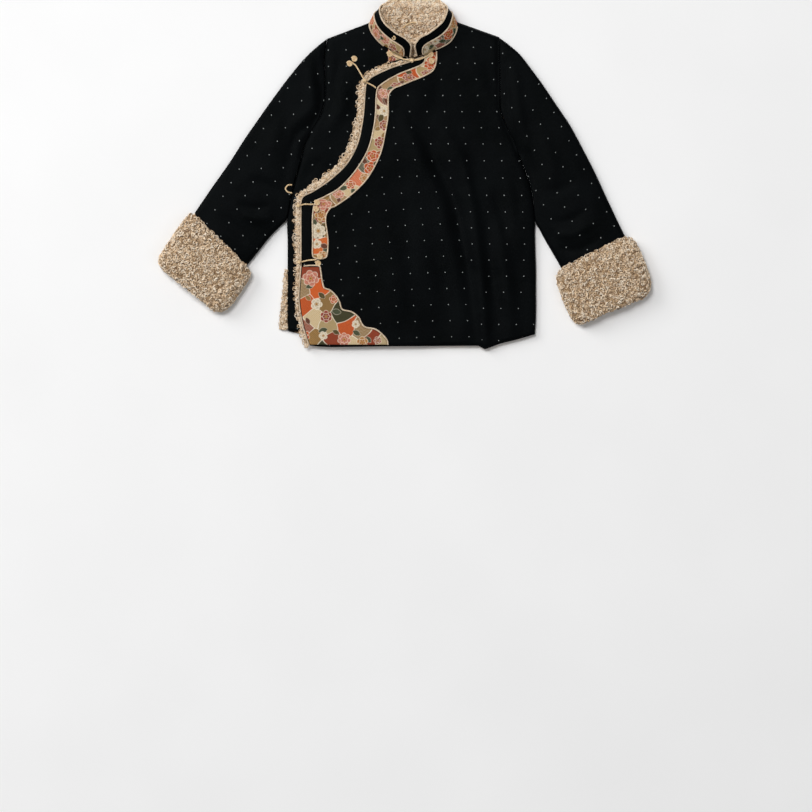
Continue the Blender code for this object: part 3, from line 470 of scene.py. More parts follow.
def fleece_base_material():
    """Knitted ground of the fleece under its curls: beige polyester, with painted shade in the hollows between the
    tufts.
    """
    made, tree = new_material("fleece_ground")
    place = add(tree, "ShaderNodeTexCoord").outputs["Object"]
    tufts = add(tree, "ShaderNodeTexVoronoi", {"Vector": place, "Scale": 330.0}, feature="SMOOTH_F1")
    clumps = noise_of(tree, place, 60.0, 3.0)
    # Random clumps of tone, minus the distance from each tuft's middle: the ramp paints shade in the hollows between
    # the tufts.
    shade = add(tree, "ShaderNodeMath", {0: clumps, 1: tufts.outputs["Distance"]}, operation="SUBTRACT")
    colour = ramp(tree, shade.outputs[0], [(0.0, "#80664a"), (0.3, "#c2a37c"), (0.55, "#e6cba5")])
    bump = bump_of(tree, tufts.outputs["Distance"], 0.7, 0.0012, invert=True)
    finish_material(tree, {
        "Base Color": colour, "Roughness": 0.95, "Specular IOR Level": 0.2, "Sheen Weight": 0.3,
        "Sheen Roughness": 0.6, "Normal": bump,
    })
    return made


def curl_material(name, root, shades):
    """Curled fleece locks: beige polyester yarn, each lock its own tone, with painted shade darkening each lock
    towards its root.
    The collar's is a paler copy: painted light that offsets the shade falling into the neck."""
    made, tree = new_material(name)
    lock = add(tree, "ShaderNodeAttribute", attribute_name="lock").outputs["Fac"]
    tip = add(tree, "ShaderNodeAttribute", attribute_name="tip").outputs["Fac"]
    place = add(tree, "ShaderNodeTexCoord").outputs["Object"]
    yarn = noise_of(tree, place, 1500.0, 1.0)
    body = ramp(tree, lock, list(zip((0.0, 0.3, 0.65, 1.0), shades)))
    # Painted shade: each lock is mixed towards the root colour at its lower turns, where the locks shade each other.
    coloured = add(tree, "ShaderNodeMix", {0: tip, 6: linear(root), 7: body}, data_type="RGBA")
    bump = bump_of(tree, yarn, 0.5, 0.0003)
    finish_material(tree, {
        "Base Color": coloured.outputs[2], "Roughness": 0.85, "Specular IOR Level": 0.25, "Sheen Weight": 0.25,
        "Sheen Roughness": 0.5, "Normal": bump,
    })
    return made


def brocade_material():
    """Woven rayon brocade: satin ground and coloured figure threads, painted on the cloth as an attribute.
    The rib of the weave is 0.35 mm, drawn 0.9 mm wide so that it shows."""
    made, tree = new_material("woven_brocade")
    uv = add(tree, "ShaderNodeUVMap", uv_map="UVMap").outputs["UV"]
    figure = add(tree, "ShaderNodeAttribute", attribute_name="figure")
    ribs = thread_height(tree, uv, 0.9)
    slub = noise_of(tree, uv, 900.0, 2.0)
    worn = add(tree, "ShaderNodeMapRange", {"Value": slub, 1: 0.3, 2: 0.7, 3: 0.82, 4: 1.08})
    colour = add(tree, "ShaderNodeVectorMath", {0: figure.outputs["Color"]}, operation="SCALE")
    tree.links.new(worn.outputs[0], colour.inputs["Scale"])
    bump = bump_of(tree, ribs, 0.5, 0.00015)
    finish_material(tree, {
        "Base Color": colour.outputs[0], "Roughness": 0.55, "Specular IOR Level": 0.25,
        "Normal": bump,
    })
    return made


def satin_material(name, dark, light, pitch_mm):
    """Satin-covered cord: fine slanting ribs round it and a soft shine, the ribs also painted lighter on their crests
    and darker in their grooves as painted shade.
    """
    made, tree = new_material(name)
    uv = add(tree, "ShaderNodeUVMap", uv_map="UVMap").outputs["UV"]
    parts = add(tree, "ShaderNodeSeparateXYZ", {0: uv})
    slant = add(tree, "ShaderNodeMath", {0: parts.outputs[0], 1: parts.outputs[1]}, operation="ADD")
    turns = add(tree, "ShaderNodeMath", {0: slant.outputs[0], 1: 2 * math.pi / (pitch_mm * MM)}, operation="MULTIPLY")
    ribs = add(tree, "ShaderNodeMath", {0: turns.outputs[0]}, operation="SINE")
    stain = noise_of(tree, uv, 160.0, 2.0)
    # Painted shade: the ribs darken the colour in their grooves and lighten it on their crests. The stain noise is
    # the cord's own uneven tone.
    shade = add(tree, "ShaderNodeMath", {0: ribs.outputs[0], 1: 0.16, 2: stain}, operation="MULTIPLY_ADD")
    colour = ramp(tree, shade.outputs[0], [(0.3, dark), (0.7, light)])
    bump = bump_of(tree, ribs.outputs[0], 0.4, 0.0002)
    finish_material(tree, {
        "Base Color": colour, "Roughness": 0.42, "Specular IOR Level": 0.5, "Sheen Weight": 0.15,
        "Normal": bump,
    })
    return made


COTTON = cotton_material("dotted_brushed_cotton", True)
PLAIN_COTTON = cotton_material("plain_brushed_cotton", False)
GROUND = fleece_base_material()
CURLS = curl_material("fleece_curls", "#a08260", ("#c6a076", "#efcfa6", "#ffe6c5", "#fff2de"))
# A paler copy of the fleece colours for the collar, collar roll and neck curls: painted light against the shade in
# the neck.
LIGHTENED_COLLAR_CURLS = curl_material("collar_fleece_curls", "#c2a27e", ("#e0b98c", "#ffdfb8", "#ffeacd", "#fff4e2"))
BROCADE = brocade_material()
PIPING = satin_material("satin_piping", "#b99f80", "#ecd8bd", 1.1)
CORD = satin_material("satin_cord", "#c59d68", "#f3dcb4", 1.4)


# Meshes.


def add_object(name, data):
    made = bpy.data.objects.new(name, data)
    bpy.context.scene.collection.objects.link(made)
    return made


def grid_rim(grid):
    """What lies on a grid's rim, in order."""
    return np.concatenate([grid[0], grid[1:, -1], grid[-1, -2::-1], grid[-2:0:-1, 0]])


def face_normals(points, faces):
    """A vector square to each face, longer for a larger one."""
    corners = points[faces]
    return np.cross(corners[:, 2] - corners[:, 0], corners[:, 3] - corners[:, 1])


def signed_volume(points, faces):
    a = points[faces[:, 0]]
    total = 0.0
    for j, k in ((1, 2), (2, 3)):
        total += np.einsum("ij,ij->i", a, np.cross(points[faces[:, j]], points[faces[:, k]])).sum()
    return total


def mesh_piece(name, points, faces, materials, uv=None, colours=None, face_materials=None, closed=True):
    """A piece from points in garment millimetres and four-sided faces. UV is in metres of cloth."""
    faces = np.asarray(faces)
    points = np.asarray(points, float)
    if closed and signed_volume(points, faces) < 0:
        faces = faces[:, ::-1]
    data = bpy.data.meshes.new(name)
    data.from_pydata(((points + OFFSET) * MM).tolist(), [], faces.tolist())
    for one in materials:
        data.materials.append(one)
    corners = np.empty(len(data.loops), np.int32)
    data.loops.foreach_get("vertex_index", corners)
    if uv is not None:
        layer = data.uv_layers.new(name="UVMap")
        layer.data.foreach_set("uv", (np.asarray(uv)[corners] * MM).astype(np.float32).ravel())
    if colours is not None:
        layer = data.attributes.new("figure", "FLOAT_COLOR", "POINT")
        padded = np.hstack([colours, np.ones((len(colours), 1))])
        layer.data.foreach_set("color", padded.astype(np.float32).ravel())
    if face_materials is not None:
        data.polygons.foreach_set("material_index", np.asarray(face_materials, np.int32))
    data.polygons.foreach_set("use_smooth", np.ones(len(data.polygons), bool))
    data.update()
    return add_object(name, data)


def place_piece(piece, slot, *nodes):
    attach(piece, "root")
    if nodes:
        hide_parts(*nodes)
    return piece


def grid_quads(rows, columns, start=0, wrap=False):
    i, j = np.meshgrid(np.arange(rows - 1), np.arange(columns if wrap else columns - 1), indexing="ij")
    i, j = i.ravel(), j.ravel()
    following = (j + 1) % columns
    return start + np.stack(
        [i * columns + j, i * columns + following, (i + 1) * columns + following, (i + 1) * columns + j], axis=1
    )


LEVEL_SHARE = 0.72


def two_sided(top, bottom):
    """Points and faces of a closed wall between two grids, and which faces belong to the lower one."""
    rows, columns = top.shape[:2]
    points = np.vstack([top.reshape(-1, 3), bottom.reshape(-1, 3)])
    upper = grid_quads(rows, columns)
    lower = grid_quads(rows, columns, rows * columns)[:, ::-1]
    index = np.arange(rows * columns).reshape(rows, columns)
    ring = np.concatenate([index[0, :-1], index[:-1, -1], index[-1, :0:-1], index[:0:-1, 0]])
    following = np.roll(ring, -1)
    shift = rows * columns
    sides = np.stack([ring, ring + shift, following + shift, following], axis=1)
    faces = np.vstack([upper, lower, sides])
    kinds = np.concatenate([np.zeros(len(upper)), np.ones(len(lower)), np.full(len(sides), 2)])
    return points, faces, kinds


def one_sided(top, bottom):
    """Points and faces of a face with its rim turned down, open below where it lies on cloth."""
    rows, columns = top.shape[:2]
    low = grid_rim(bottom)
    points = np.vstack([top.reshape(-1, 3), low])
    ring = grid_rim(np.arange(rows * columns).reshape(rows, columns))
    under = rows * columns + np.arange(len(low))
    sides = np.stack([ring, under, np.roll(under, -1), np.roll(ring, -1)], axis=1)
    faces = np.vstack([grid_quads(rows, columns), sides])
    normal = face_normals(points, faces[: (rows - 1) * (columns - 1)])
    return points, faces if normal[:, 2].sum() > 0 else faces[:, ::-1]


def level_faces(points, faces):
    """True where a face lies so level that a woven dot on it isn't drawn out."""
    normal = face_normals(points, faces)
    length = np.linalg.norm(normal, axis=1)
    return np.abs(normal[:, 2]) > LEVEL_SHARE * np.maximum(length, 1e-9)


def surface_area(piece):
    return sum(face.area for face in piece.data.polygons)


def border_distance(grid, reach):
    """How far each point of a grid is from the grid's rim, up to a reach."""
    rim = grid_rim(grid)[:, :2]
    flat = grid.reshape(-1, grid.shape[2])[:, :2]
    found = np.full(len(flat), float(reach))
    for a, b in zip(rim, np.roll(rim, -1, axis=0)):
        low = np.minimum(a, b) - reach
        high = np.maximum(a, b) + reach
        near = np.flatnonzero((flat >= low).all(1) & (flat <= high).all(1))
        if len(near) and math.dist(a, b) > 1e-6:
            away = segment_distance(flat[near, 0], flat[near, 1], a, b)
            found[near] = np.minimum(found[near], away)
    return found.reshape(grid.shape[:2])


def wall_grids(plan, high, low, middle, rim):
    """Upper and lower grid of a wall over a plan, drawn in to its middle height along the rim."""
    keep = 0.08 + 0.92 * rim
    return [np.dstack([plan, middle + (face - middle) * keep]) for face in (high, low)]


def cloth_panel(name, plan, top_height, bottom_height, detail, dots, inner, seed):
    """A padded panel over a plan grid, rounded at its rim. Detail adds creases to the upper face."""
    x, y = plan[..., 0], plan[..., 1]
    rim = quarter_round(border_distance(plan, RIM_ROUND), RIM_ROUND)
    high, low = top_height(x, y), bottom_height(x, y)
    middle = (high + low) / 2
    grain = unevenness(np.dstack([plan, 0 * x]).reshape(-1, 3), 26.0, seed).reshape(x.shape)
    fine = unevenness(np.dstack([plan, 0 * x]).reshape(-1, 3), 9.0, seed + 1).reshape(x.shape)
    broad = unevenness(np.dstack([plan, 0 * x]).reshape(-1, 3), 70.0, seed + 2).reshape(x.shape)
    high = high + (detail(x, y, broad) + 0.5 * grain + 0.12 * fine) * rim
    high = np.maximum(high, low + 1.8 * rim)
    top, bottom = wall_grids(plan, high, low, middle, rim)
    points, faces, kinds = two_sided(top, bottom)
    kinds[(kinds == 0) & ~level_faces(points, faces)] = 2
    u, v = dots(x, y)
    uv = np.stack([u.ravel(), v.ravel()], axis=1)
    return mesh_piece(name, points, faces, [COTTON, inner, PLAIN_COTTON], np.vstack([uv, uv]), face_materials=kinds)


def affine_dots(origin, across, down):
    """UV of a panel whose dots lie on a slanted grid, from one dot and the steps to its two neighbours."""
    steps = np.linalg.inv(np.array([[across[0], down[0]], [across[1], down[1]]]))

    def dots(x, y):
        i = steps[0, 0] * (x - origin[0]) + steps[0, 1] * (y - origin[1])
        j = steps[1, 0] * (x - origin[0]) + steps[1, 1] * (y - origin[1])
        return i * DOT_ACROSS, -j * DOT_DOWN

    return dots


# Dots of the over front: where one column lies at each height, how much cloth the long fold takes in at each
# height, and how far the rows dip to the left.
COLUMN_LINE = ((20, 120, 255, 390, 524, 660), (83, 73, 59, 43, 28, 16))
FOLD_LINE = ((2, 55, 139, 223, 307, 370, 475), (146, 139, 124, 109, 90, 44, -10))
FOLD_TAKES = ((20, 54, 84, 118, 150, 185, 217, 255, 320, 420), (48, 44, 36, 27, 18, 15, 10, 8, 5, 0))
ROW_DIP = ((-165, -120, -80, -40, 0, 60), (17, 12, 7, 4, 2, 0))
FIRST_ROW_Y = 458.0
DIP_TOP_Y = 440.0
DIP_FADE = 160.0
ROW_DROP_AT_FOLD = 8.0


def over_dots(x, y):
    column = np.interp(y, *COLUMN_LINE)
    beyond = smooth((x - np.interp(y, *FOLD_LINE)) / 8 + 0.5)
    fade = smooth((DIP_TOP_Y - y) / DIP_FADE)
    dip = fade * (np.interp(x, *ROW_DIP) + ROW_DROP_AT_FOLD * beyond)
    down = y + dip - FIRST_ROW_Y
    row = np.round(down / DOT_DOWN) * DOT_DOWN - dip + FIRST_ROW_Y
    taken = np.interp(row, *FOLD_TAKES)
    taken -= np.round(taken / DOT_ACROSS) * DOT_ACROSS
    return x - column + taken * beyond, down


# Body panels.

OVER_CREASES = [
    ([(-30, 500), (14, 400), (50, 320), (74, 230), (96, 120), (108, -20)], 20, 7.0),
    ([(-14, 500), (40, 405), (76, 330), (100, 250), (122, 150), (138, 0)], 11, -3.0),
    ([(104, 400), (124, 320), (138, 230), (150, 120), (157, -20)], 9, 4.8),
    ([(40, 480), (84, 420), (118, 340)], 17, 5.0),
    ([(176, 300), (188, 190), (204, 60), (208, -10)], 14, 5.0),
    ([(-60, 260), (-40, 150), (-44, 20)], 24, 3.4),
    ([(24, 300), (40, 180), (48, 40)], 20, 2.2),
    ([(-10, 330), (-2, 200), (0, 60)], 15, -1.4),
    ([(170, 340), (184, 290), (198, 232)], 11, -1.6),
    ([(160, 200), (172, 120), (186, 40)], 9, -1.5),
    ([(190, 190), (206, 110), (220, 40)], 11, 1.2),
    ([(216, 360), (222, 300), (220, 220)], 8, -1.0),
    ([(150, 600), (168, 540), (180, 480)], 10, -1.4),
    ([(120, 640), (140, 560), (150, 500)], 14, 1.1),
    ([(-120, 320), (-100, 220), (-104, 120)], 18, 1.0),
    ([(-60, 380), (-40, 300), (-44, 180)], 16, -0.9),
    ([(0, 360), (16, 240), (12, 120)], 18, 0.9),
    ([(60, 220), (74, 130), (80, 40)], 14, -0.9),
    ([(-140, 250), (-146, 180), (-140, 110)], 12, -0.8),
    ([(60, 560), (100, 520), (150, 500)], 16, 0.9),
]
UNDER_CREASES = [
    ([(-150, 620), (-160, 560), (-172, 500), (-190, 452)], 9, -1.8),
    ([(-128, 560), (-150, 500), (-176, 455)], 12, 1.2),
    ([(-235, 330), (-205, 380), (-165, 405)], 9, -1.2),
    ([(-240, 240), (-246, 180), (-244, 100)], 6, -0.9),
]
BACK_CREASES = [
    ([(-200, 430), (-120, 380), (-60, 300)], 16, 1.2),
    ([(200, 430), (130, 360), (80, 250)], 16, 1.3),
    ([(-140, 200), (-110, 120), (-120, 40)], 14, 1.0),
    ([(60, 220), (90, 120), (84, 30)], 14, 1.1),
    ([(0, 600), (10, 480), (-10, 360)], 18, 0.9),
]
SEAM_DIP = 2.4
SEAM_REACH = 7.0
BROAD_LIFT = 1.8
SEAM_ALLOWANCE = 12.0


def seam_dip(x, y, line):
    """The shallow valley where two panels are sewn together."""
    away = line_distance(x, y, line)
    return -SEAM_DIP * np.exp(-((away / SEAM_REACH) ** 2))


def value_on(line, x):
    line = sorted(line)
    return np.interp(x, [p[0] for p in line], [p[1] for p in line])


def fit_hem(plan, rows, hem):
    """Bends the lowest rows of a plan grid to the hem line. Rows are their section numbers."""
    first, last = plan[0, 0], plan[0, -1]
    fade = np.interp(rows, (0, 1, 2, 3), (1.0, 0.35, 0.1, 0.0))[:, None]
    straight = lerp(first[1], last[1], (plan[..., 0] - first[0]) / (last[0] - first[0]))
    plan[..., 1] += fade * (value_on(hem, plan[..., 0]) - straight)
    return plan


def right_edge(y):
    line = RIGHT_SIDE + RIGHT_ARMHOLE[1:]
    return np.interp(y, [p[1] for p in line], [p[0] for p in line])


def left_edge(y):
    line = LEFT_SIDE + LEFT_ARMHOLE[1:]
    return np.interp(y, [p[1] for p in line], [p[0] for p in line])


def over_front_lines():
    """Crossing edge, line between bands, outer brocade line and right side of each section."""
    lines = [[], [], [], []]
    for ex, ey, mx, my, ox, oy, side_y, _ in OVER_FRONT:
        side = (float(right_edge(side_y)), side_y)
        for line, point in zip(lines, ((ex, ey), (mx, my), (ox, oy), side)):
            line.append(point)
    for nx, ny, side_y in OVER_NECKLINE:
        side = np.array([float(right_edge(side_y)), side_y])
        start = np.array([nx, ny], float)
        for line, share in zip(lines, (0.0, 0.03, 0.06, 1.0)):
            line.append(tuple(lerp(start, side, share)))
    return lines


def build_over_front():
    edge, middle, outer, side = over_front_lines()
    places = spaced_places(edge, 4.5)
    e, m, o, s = (curve_at(line, places) for line in (edge, middle, outer, side))
    columns = [lerp(e, m, t) for t in (0, 0.06, 0.14, 0.4, 0.7)]
    columns += [lerp(m, o, t) for t in (0, 0.33, 0.67)]
    across = np.concatenate([np.linspace(0, 0.985, 98), [0.991, 0.996, 1.0]])
    columns += [lerp(o, s, t) for t in across]
    plan = fit_hem(np.stack(columns, axis=1), places, OVER_HEM)
    outline = CORNER_LEFT + CORNER_EDGE

    def detail(x, y, broad):
        away = line_distance(x, y, outer)
        away[:, :8] = 0.0
        corner = line_distance(x, y, CORNER_EDGE)
        corner[inside(x, y, outline)] = 0.0
        fade = smooth(np.minimum(away, corner) / 26)
        return (crease_sum(x, y, OVER_CREASES) + BROAD_LIFT * broad) * fade + seam_dip(x, y, RIGHT_ARMHOLE)

    piece = cloth_panel("over_front_cloth", plan, over_top, over_bottom, detail, over_dots, GROUND, 1)
    place_piece(piece, "black_cotton", "over_front")
    return piece


def build_under_front():
    left = [(float(left_edge(row[0])), row[0]) for row in UNDER_FRONT]
    right = [row[1:] for row in UNDER_FRONT]
    places = spaced_places(left, 4.5)
    s, e = curve_at(left, places), curve_at(right, places)
    across = np.concatenate([[0, 0.005, 0.012], np.linspace(0.022, 1, 60)])
    plan = np.stack([lerp(s, e, t) for t in across], axis=1)

    crossing = [row[:2] for row in OVER_FRONT]

    def detail(x, y, broad):
        fade = smooth((line_distance(x, y, crossing) - 16) / 20)
        return (crease_sum(x, y, UNDER_CREASES) + BROAD_LIFT * broad) * fade + seam_dip(x, y, LEFT_ARMHOLE)

    dots = affine_dots((-136.5, 518.7), (37.4, 0.5), (0.6, -34.3))
    piece = cloth_panel("under_front_cloth", plan, under_top, under_bottom, detail, dots, GROUND, 5)
    place_piece(piece, "black_cotton", "under_front")
    return piece


def back_bottom_height(x, y):
    sides = (LEFT_SIDE, RIGHT_SIDE, LEFT_SHOULDER, RIGHT_SHOULDER)
    away = np.min([line_distance(x, y, line) for line in sides], axis=0)
    return BACK_EDGE_LIFT * (1 - quarter_round(away, BACK_EDGE_ROUND))


def build_back():
    """The back. Its outer face lies on the surface, so its creases only lift from it."""
    left = LEFT_SIDE + LEFT_ARMHOLE[1:]
    right = RIGHT_SIDE + RIGHT_ARMHOLE[1:]
    places = spaced_places(left, 6.0)
    s, e = curve_at(left, places), curve_at(right, places)
    across = np.concatenate([[0, 0.003, 0.008], np.linspace(0.014, 0.986, 84), [0.992, 0.997, 1]])
    plan = np.stack([lerp(s, e, t) for t in across], axis=1)
    top_line = LEFT_SHOULDER[:1] + BACK_NECKLINE + RIGHT_SHOULDER[:1]
    tip = LEFT_SHOULDER[0][1]
    last = len(left) - 1
    lift = np.interp(places, (last - 3, last - 2, last - 1, last), (0, 0.25, 0.55, 1))[:, None]
    rise = value_on(top_line, plan[..., 0]) - tip
    plan[..., 1] += lift * rise
    plan = fit_hem(plan, places, BACK_HEM)
    x, y = plan[..., 0], plan[..., 1]
    rim = quarter_round(border_distance(plan, RIM_ROUND), RIM_ROUND)
    low, high = back_bottom_height(x, y), np.full(x.shape, BACK_TOP)
    creases = crease_sum(x, y, BACK_CREASES)
    low = np.minimum(low + np.clip(creases, 0, 2.0), high - 1.5)
    middle = (high + low) / 2
    top, bottom = wall_grids(plan, high, low, middle, rim)
    points, faces, kinds = two_sided(top, bottom)
    u, v = affine_dots((0.0, 300.0), (DOT_ACROSS, 0.0), (0.0, -DOT_DOWN))(x, y)
    uv = np.vstack([np.stack([u.ravel(), v.ravel()], axis=1)] * 2)
    centres = points[faces].mean(axis=1)
    seams = (LEFT_ARMHOLE, RIGHT_ARMHOLE, LEFT_SHOULDER, RIGHT_SHOULDER, LEFT_SIDE, RIGHT_SIDE)
    away = np.min([line_distance(centres[:, 0], centres[:, 1], line) for line in seams], axis=0)
    inner, outer_side = kinds == 0, kinds == 1
    kinds = np.select([inner & (away > SEAM_ALLOWANCE), outer_side & level_faces(points, faces)], [1, 0], 2)
    piece = mesh_piece("back_cloth", points, faces, [COTTON, GROUND, PLAIN_COTTON], uv, face_materials=kinds)
    place_piece(piece, "black_cotton", "back_panel")
    return piece


# Sleeves and cuffs.

LEFT_SLEEVE_CREASES = [
    ([(-204, 610), (-194, 560), (-188, 506), (-206, 470), (-240, 444), (-256, 410)], 8, -3.6),
    ([(-222, 600), (-212, 550), (-210, 505), (-232, 478), (-266, 450)], 11, 3.4),
    ([(-246, 440), (-262, 380), (-272, 320)], 10, -2.4),
    ([(-276, 480), (-296, 410), (-300, 340)], 15, 2.8),
    ([(-296, 296), (-330, 288), (-368, 300)], 8, -2.8),
    ([(-290, 268), (-322, 266), (-356, 278)], 8, 2.6),
    ([(-268, 310), (-300, 336), (-344, 350)], 9, -2.2),
    ([(-344, 214), (-372, 246), (-404, 280)], 9, -2.0),
    ([(-316, 400), (-340, 360), (-380, 330)], 12, 1.0),
]
RIGHT_SLEEVE_CREASES = [
    ([(194, 610), (197, 540), (204, 480), (222, 430)], 7, -2.6),
    ([(214, 600), (218, 530), (228, 460), (246, 410)], 11, 3.2),
    ([(238, 420), (254, 360), (270, 300)], 9, -2.6),
    ([(264, 470), (286, 400), (298, 320)], 14, 2.8),
    ([(284, 262), (326, 262), (376, 290)], 8, -3.0),
    ([(296, 236), (338, 236), (388, 264)], 8, 2.8),
    ([(304, 206), (350, 202), (400, 232)], 8, -2.4),
    ([(268, 326), (308, 328), (352, 352)], 9, -2.0),
    ([(300, 480), (330, 420), (352, 340)], 12, 0.9),
]


def ring_places(length, top_count, bottom_count):
    """Places across a flat ring, closer together near its two edges, for its top and its bottom."""

    def spread(count):
        t = (1 - np.cos(np.linspace(0, math.pi, count))) / 2
        return lerp(np.linspace(0, 1, count), t, 0.7) * length

    return spread(top_count), spread(bottom_count)


def flat_tube(upper, lower, middle, half_up, half_down, edge, crown, bow, counts):
    """Rings of a flattened tube between two edge lines, as a grid of points row by ring."""
    rings = []
    for k, (a, b) in enumerate(zip(upper, lower)):
        run = b - a
        length = np.linalg.norm(run)
        top, bottom = ring_places(1.0, *counts)
        sets = []
        for share, sign, half in ((top, 1, half_up[k]), (bottom[-2:0:-1], -1, half_down[k])):
            place = share * length
            rise = quarter_round(np.minimum(place, length - place), edge)
            arch = crown[k] * np.sin(math.pi * share) if sign > 0 else 0.0
            xy = a + share[:, None] * run + bow(share, k)
            z = middle + sign * (half + arch) * rise
            sets.append(np.column_stack([xy, z]))
        rings.append(np.vstack(sets))
    return np.array(rings)


def tube_mesh(outer, inner):
    """A hollow tube through two grids of rings that have the same size, joined round both ends."""
    rows, count = outer.shape[:2]
    points = np.vstack([outer.reshape(-1, 3), inner.reshape(-1, 3)])
    out = grid_quads(rows, count, 0, True)
    in_faces = grid_quads(rows, count, rows * count, True)[:, ::-1]
    k = np.arange(count)
    following = (k + 1) % count
    shift = rows * count
    first = np.stack([k, k + shift, following + shift, following], axis=1)
    end = (rows - 1) * count
    last = np.stack([k + end, following + end, following + end + shift, k + end + shift], axis=1)
    faces = np.vstack([out, in_faces, first, last])
    kinds = np.concatenate([np.zeros(len(out)), np.ones(len(in_faces)), np.full(2 * count, 2)])
    return points, faces, kinds


def armhole_bow(armhole):
    """How far the armhole's curve lies from its chord, at each share from the shoulder tip down."""
    line = fine_line(armhole[::-1], 6.0)
    along = lengths_along(line)
    along /= along[-1]
    chord = lerp(line[0], line[-1], along[:, None])
    return along, line - chord


def build_sleeve(name, node, table, armhole, side, creases, dots, seed):
    rows = np.array(table, float)
    mean = np.column_stack([(rows[:, 0] + rows[:, 2]) / 2, (rows[:, 1] + rows[:, 3]) / 2])
    places = spaced_places(mean, 4.5)
    fade = np.interp(places, (0, 1, 2, 3), (*ARMHOLE_FADE, 0.0))
    along, bow_line = armhole_bow(armhole)
    upper, lower = curve_at(rows[:, :2], places), curve_at(rows[:, 2:4], places)
    upper[:, 0] += 0.5 * side
    lower[:, 0] += 0.5 * side
    crown = np.interp(places, np.arange(len(rows)), rows[:, 4])

    def bow(share, k):
        shift = np.column_stack([np.interp(share, along, bow_line[:, axis]) for axis in (0, 1)])
        return shift * fade[k]

    counts = (58, 34)
    half = np.full(len(places), SLEEVE_MIDDLE)
    outer = flat_tube(upper, lower, SLEEVE_MIDDLE, half, half, SLEEVE_EDGE_ROUND, crown, bow, counts)
    run = lower - upper
    run /= np.linalg.norm(run, axis=1)[:, None]
    hollow = np.full(len(places), SLEEVE_HOLLOW)
    inner = flat_tube(
        upper + run * EDGE_WALL, lower - run * EDGE_WALL, SLEEVE_MIDDLE, hollow, hollow, EDGE_WALL,
        0 * crown, bow, counts,
    )
    top = slice(0, counts[0])
    x, y, z = outer[:, top, 0], outer[:, top, 1], outer[:, top, 2]
    lift = np.clip((z - SLEEVE_MIDDLE) / SLEEVE_MIDDLE, 0, 1)
    grain = unevenness(np.dstack([x, y, 0 * x]).reshape(-1, 3), 26.0, seed).reshape(x.shape)
    broad = unevenness(np.dstack([x, y, 0 * x]).reshape(-1, 3), 60.0, seed + 1).reshape(x.shape)
    change = crease_sum(x, y, creases) + 0.5 * grain + BROAD_LIFT * broad + seam_dip(x, y, armhole)
    lowest = np.minimum(z, SLEEVE_MIDDLE + SLEEVE_HOLLOW + 1.4)
    outer[:, top, 2] = np.maximum(z + change * lift, lowest)
    points, faces, kinds = tube_mesh(outer, inner)
    kinds[(kinds == 0) & ~level_faces(points, faces)] = 2
    u, v = dots(points[:, 0], points[:, 1])
    piece = mesh_piece(
        name, points, faces, [COTTON, GROUND, PLAIN_COTTON], np.column_stack([u, v]), face_materials=kinds
    )
    place_piece(piece, "black_cotton", node)
    return piece


def cuff_rows(table, sleeve_row):
    upper = np.array(sleeve_row[:2], float)
    lower = np.array(sleeve_row[2:4], float)
    run = (lower - upper) / np.linalg.norm(lower - upper)
    upper, lower = upper - run * 5.0, lower + run * 5.0
    away = np.array([-run[1], run[0]])
    if away @ (np.array(table[1][:2]) - upper) < 0:
        away = -away
    first = [*(upper + away * 0.6), *(lower + away * 0.6), 12, 11]
    return np.array([first] + [list(row) for row in table], float)


def build_cuff(name, node, table, sleeve_row, seed):
    rows = cuff_rows(table, sleeve_row)
    mean = np.column_stack([(rows[:, 0] + rows[:, 2]) / 2, (rows[:, 1] + rows[:, 3]) / 2])
    places = spaced_places(mean, 4.0)
    fine = curve_at(rows, places)
    counts = (52, 36)
    none = lambda share, k: np.zeros((len(share), 2))
    two = np.full(len(places), 2.0)
    outer = flat_tube(fine[:, :2], fine[:, 2:4], CUFF_MIDDLE, fine[:, 4], fine[:, 5], CUFF_EDGE_ROUND, two, none, counts)
    run = fine[:, 2:4] - fine[:, :2]
    run /= np.linalg.norm(run, axis=1)[:, None]
    hollow = np.full(len(places), CUFF_HOLLOW)
    inner = flat_tube(
        fine[:, :2] + run * CUFF_EDGE_WALL, fine[:, 2:4] - run * CUFF_EDGE_WALL, CUFF_MIDDLE, hollow, hollow,
        EDGE_WALL, 0 * two, none, counts,
    )
    flat = outer.reshape(-1, 3)
    lumps = unevenness(flat, 14.0, seed).reshape(outer.shape[:2])
    top = slice(0, counts[0])
    outer[:, top, 2] += 1.6 * lumps[:, top] - 0.8
    points, faces, _ = tube_mesh(outer, inner)
    piece = mesh_piece(name, points, faces, [GROUND], points[:, :2])
    place_piece(piece, "fleece", node)
    return piece, outer


# Fleece curls.


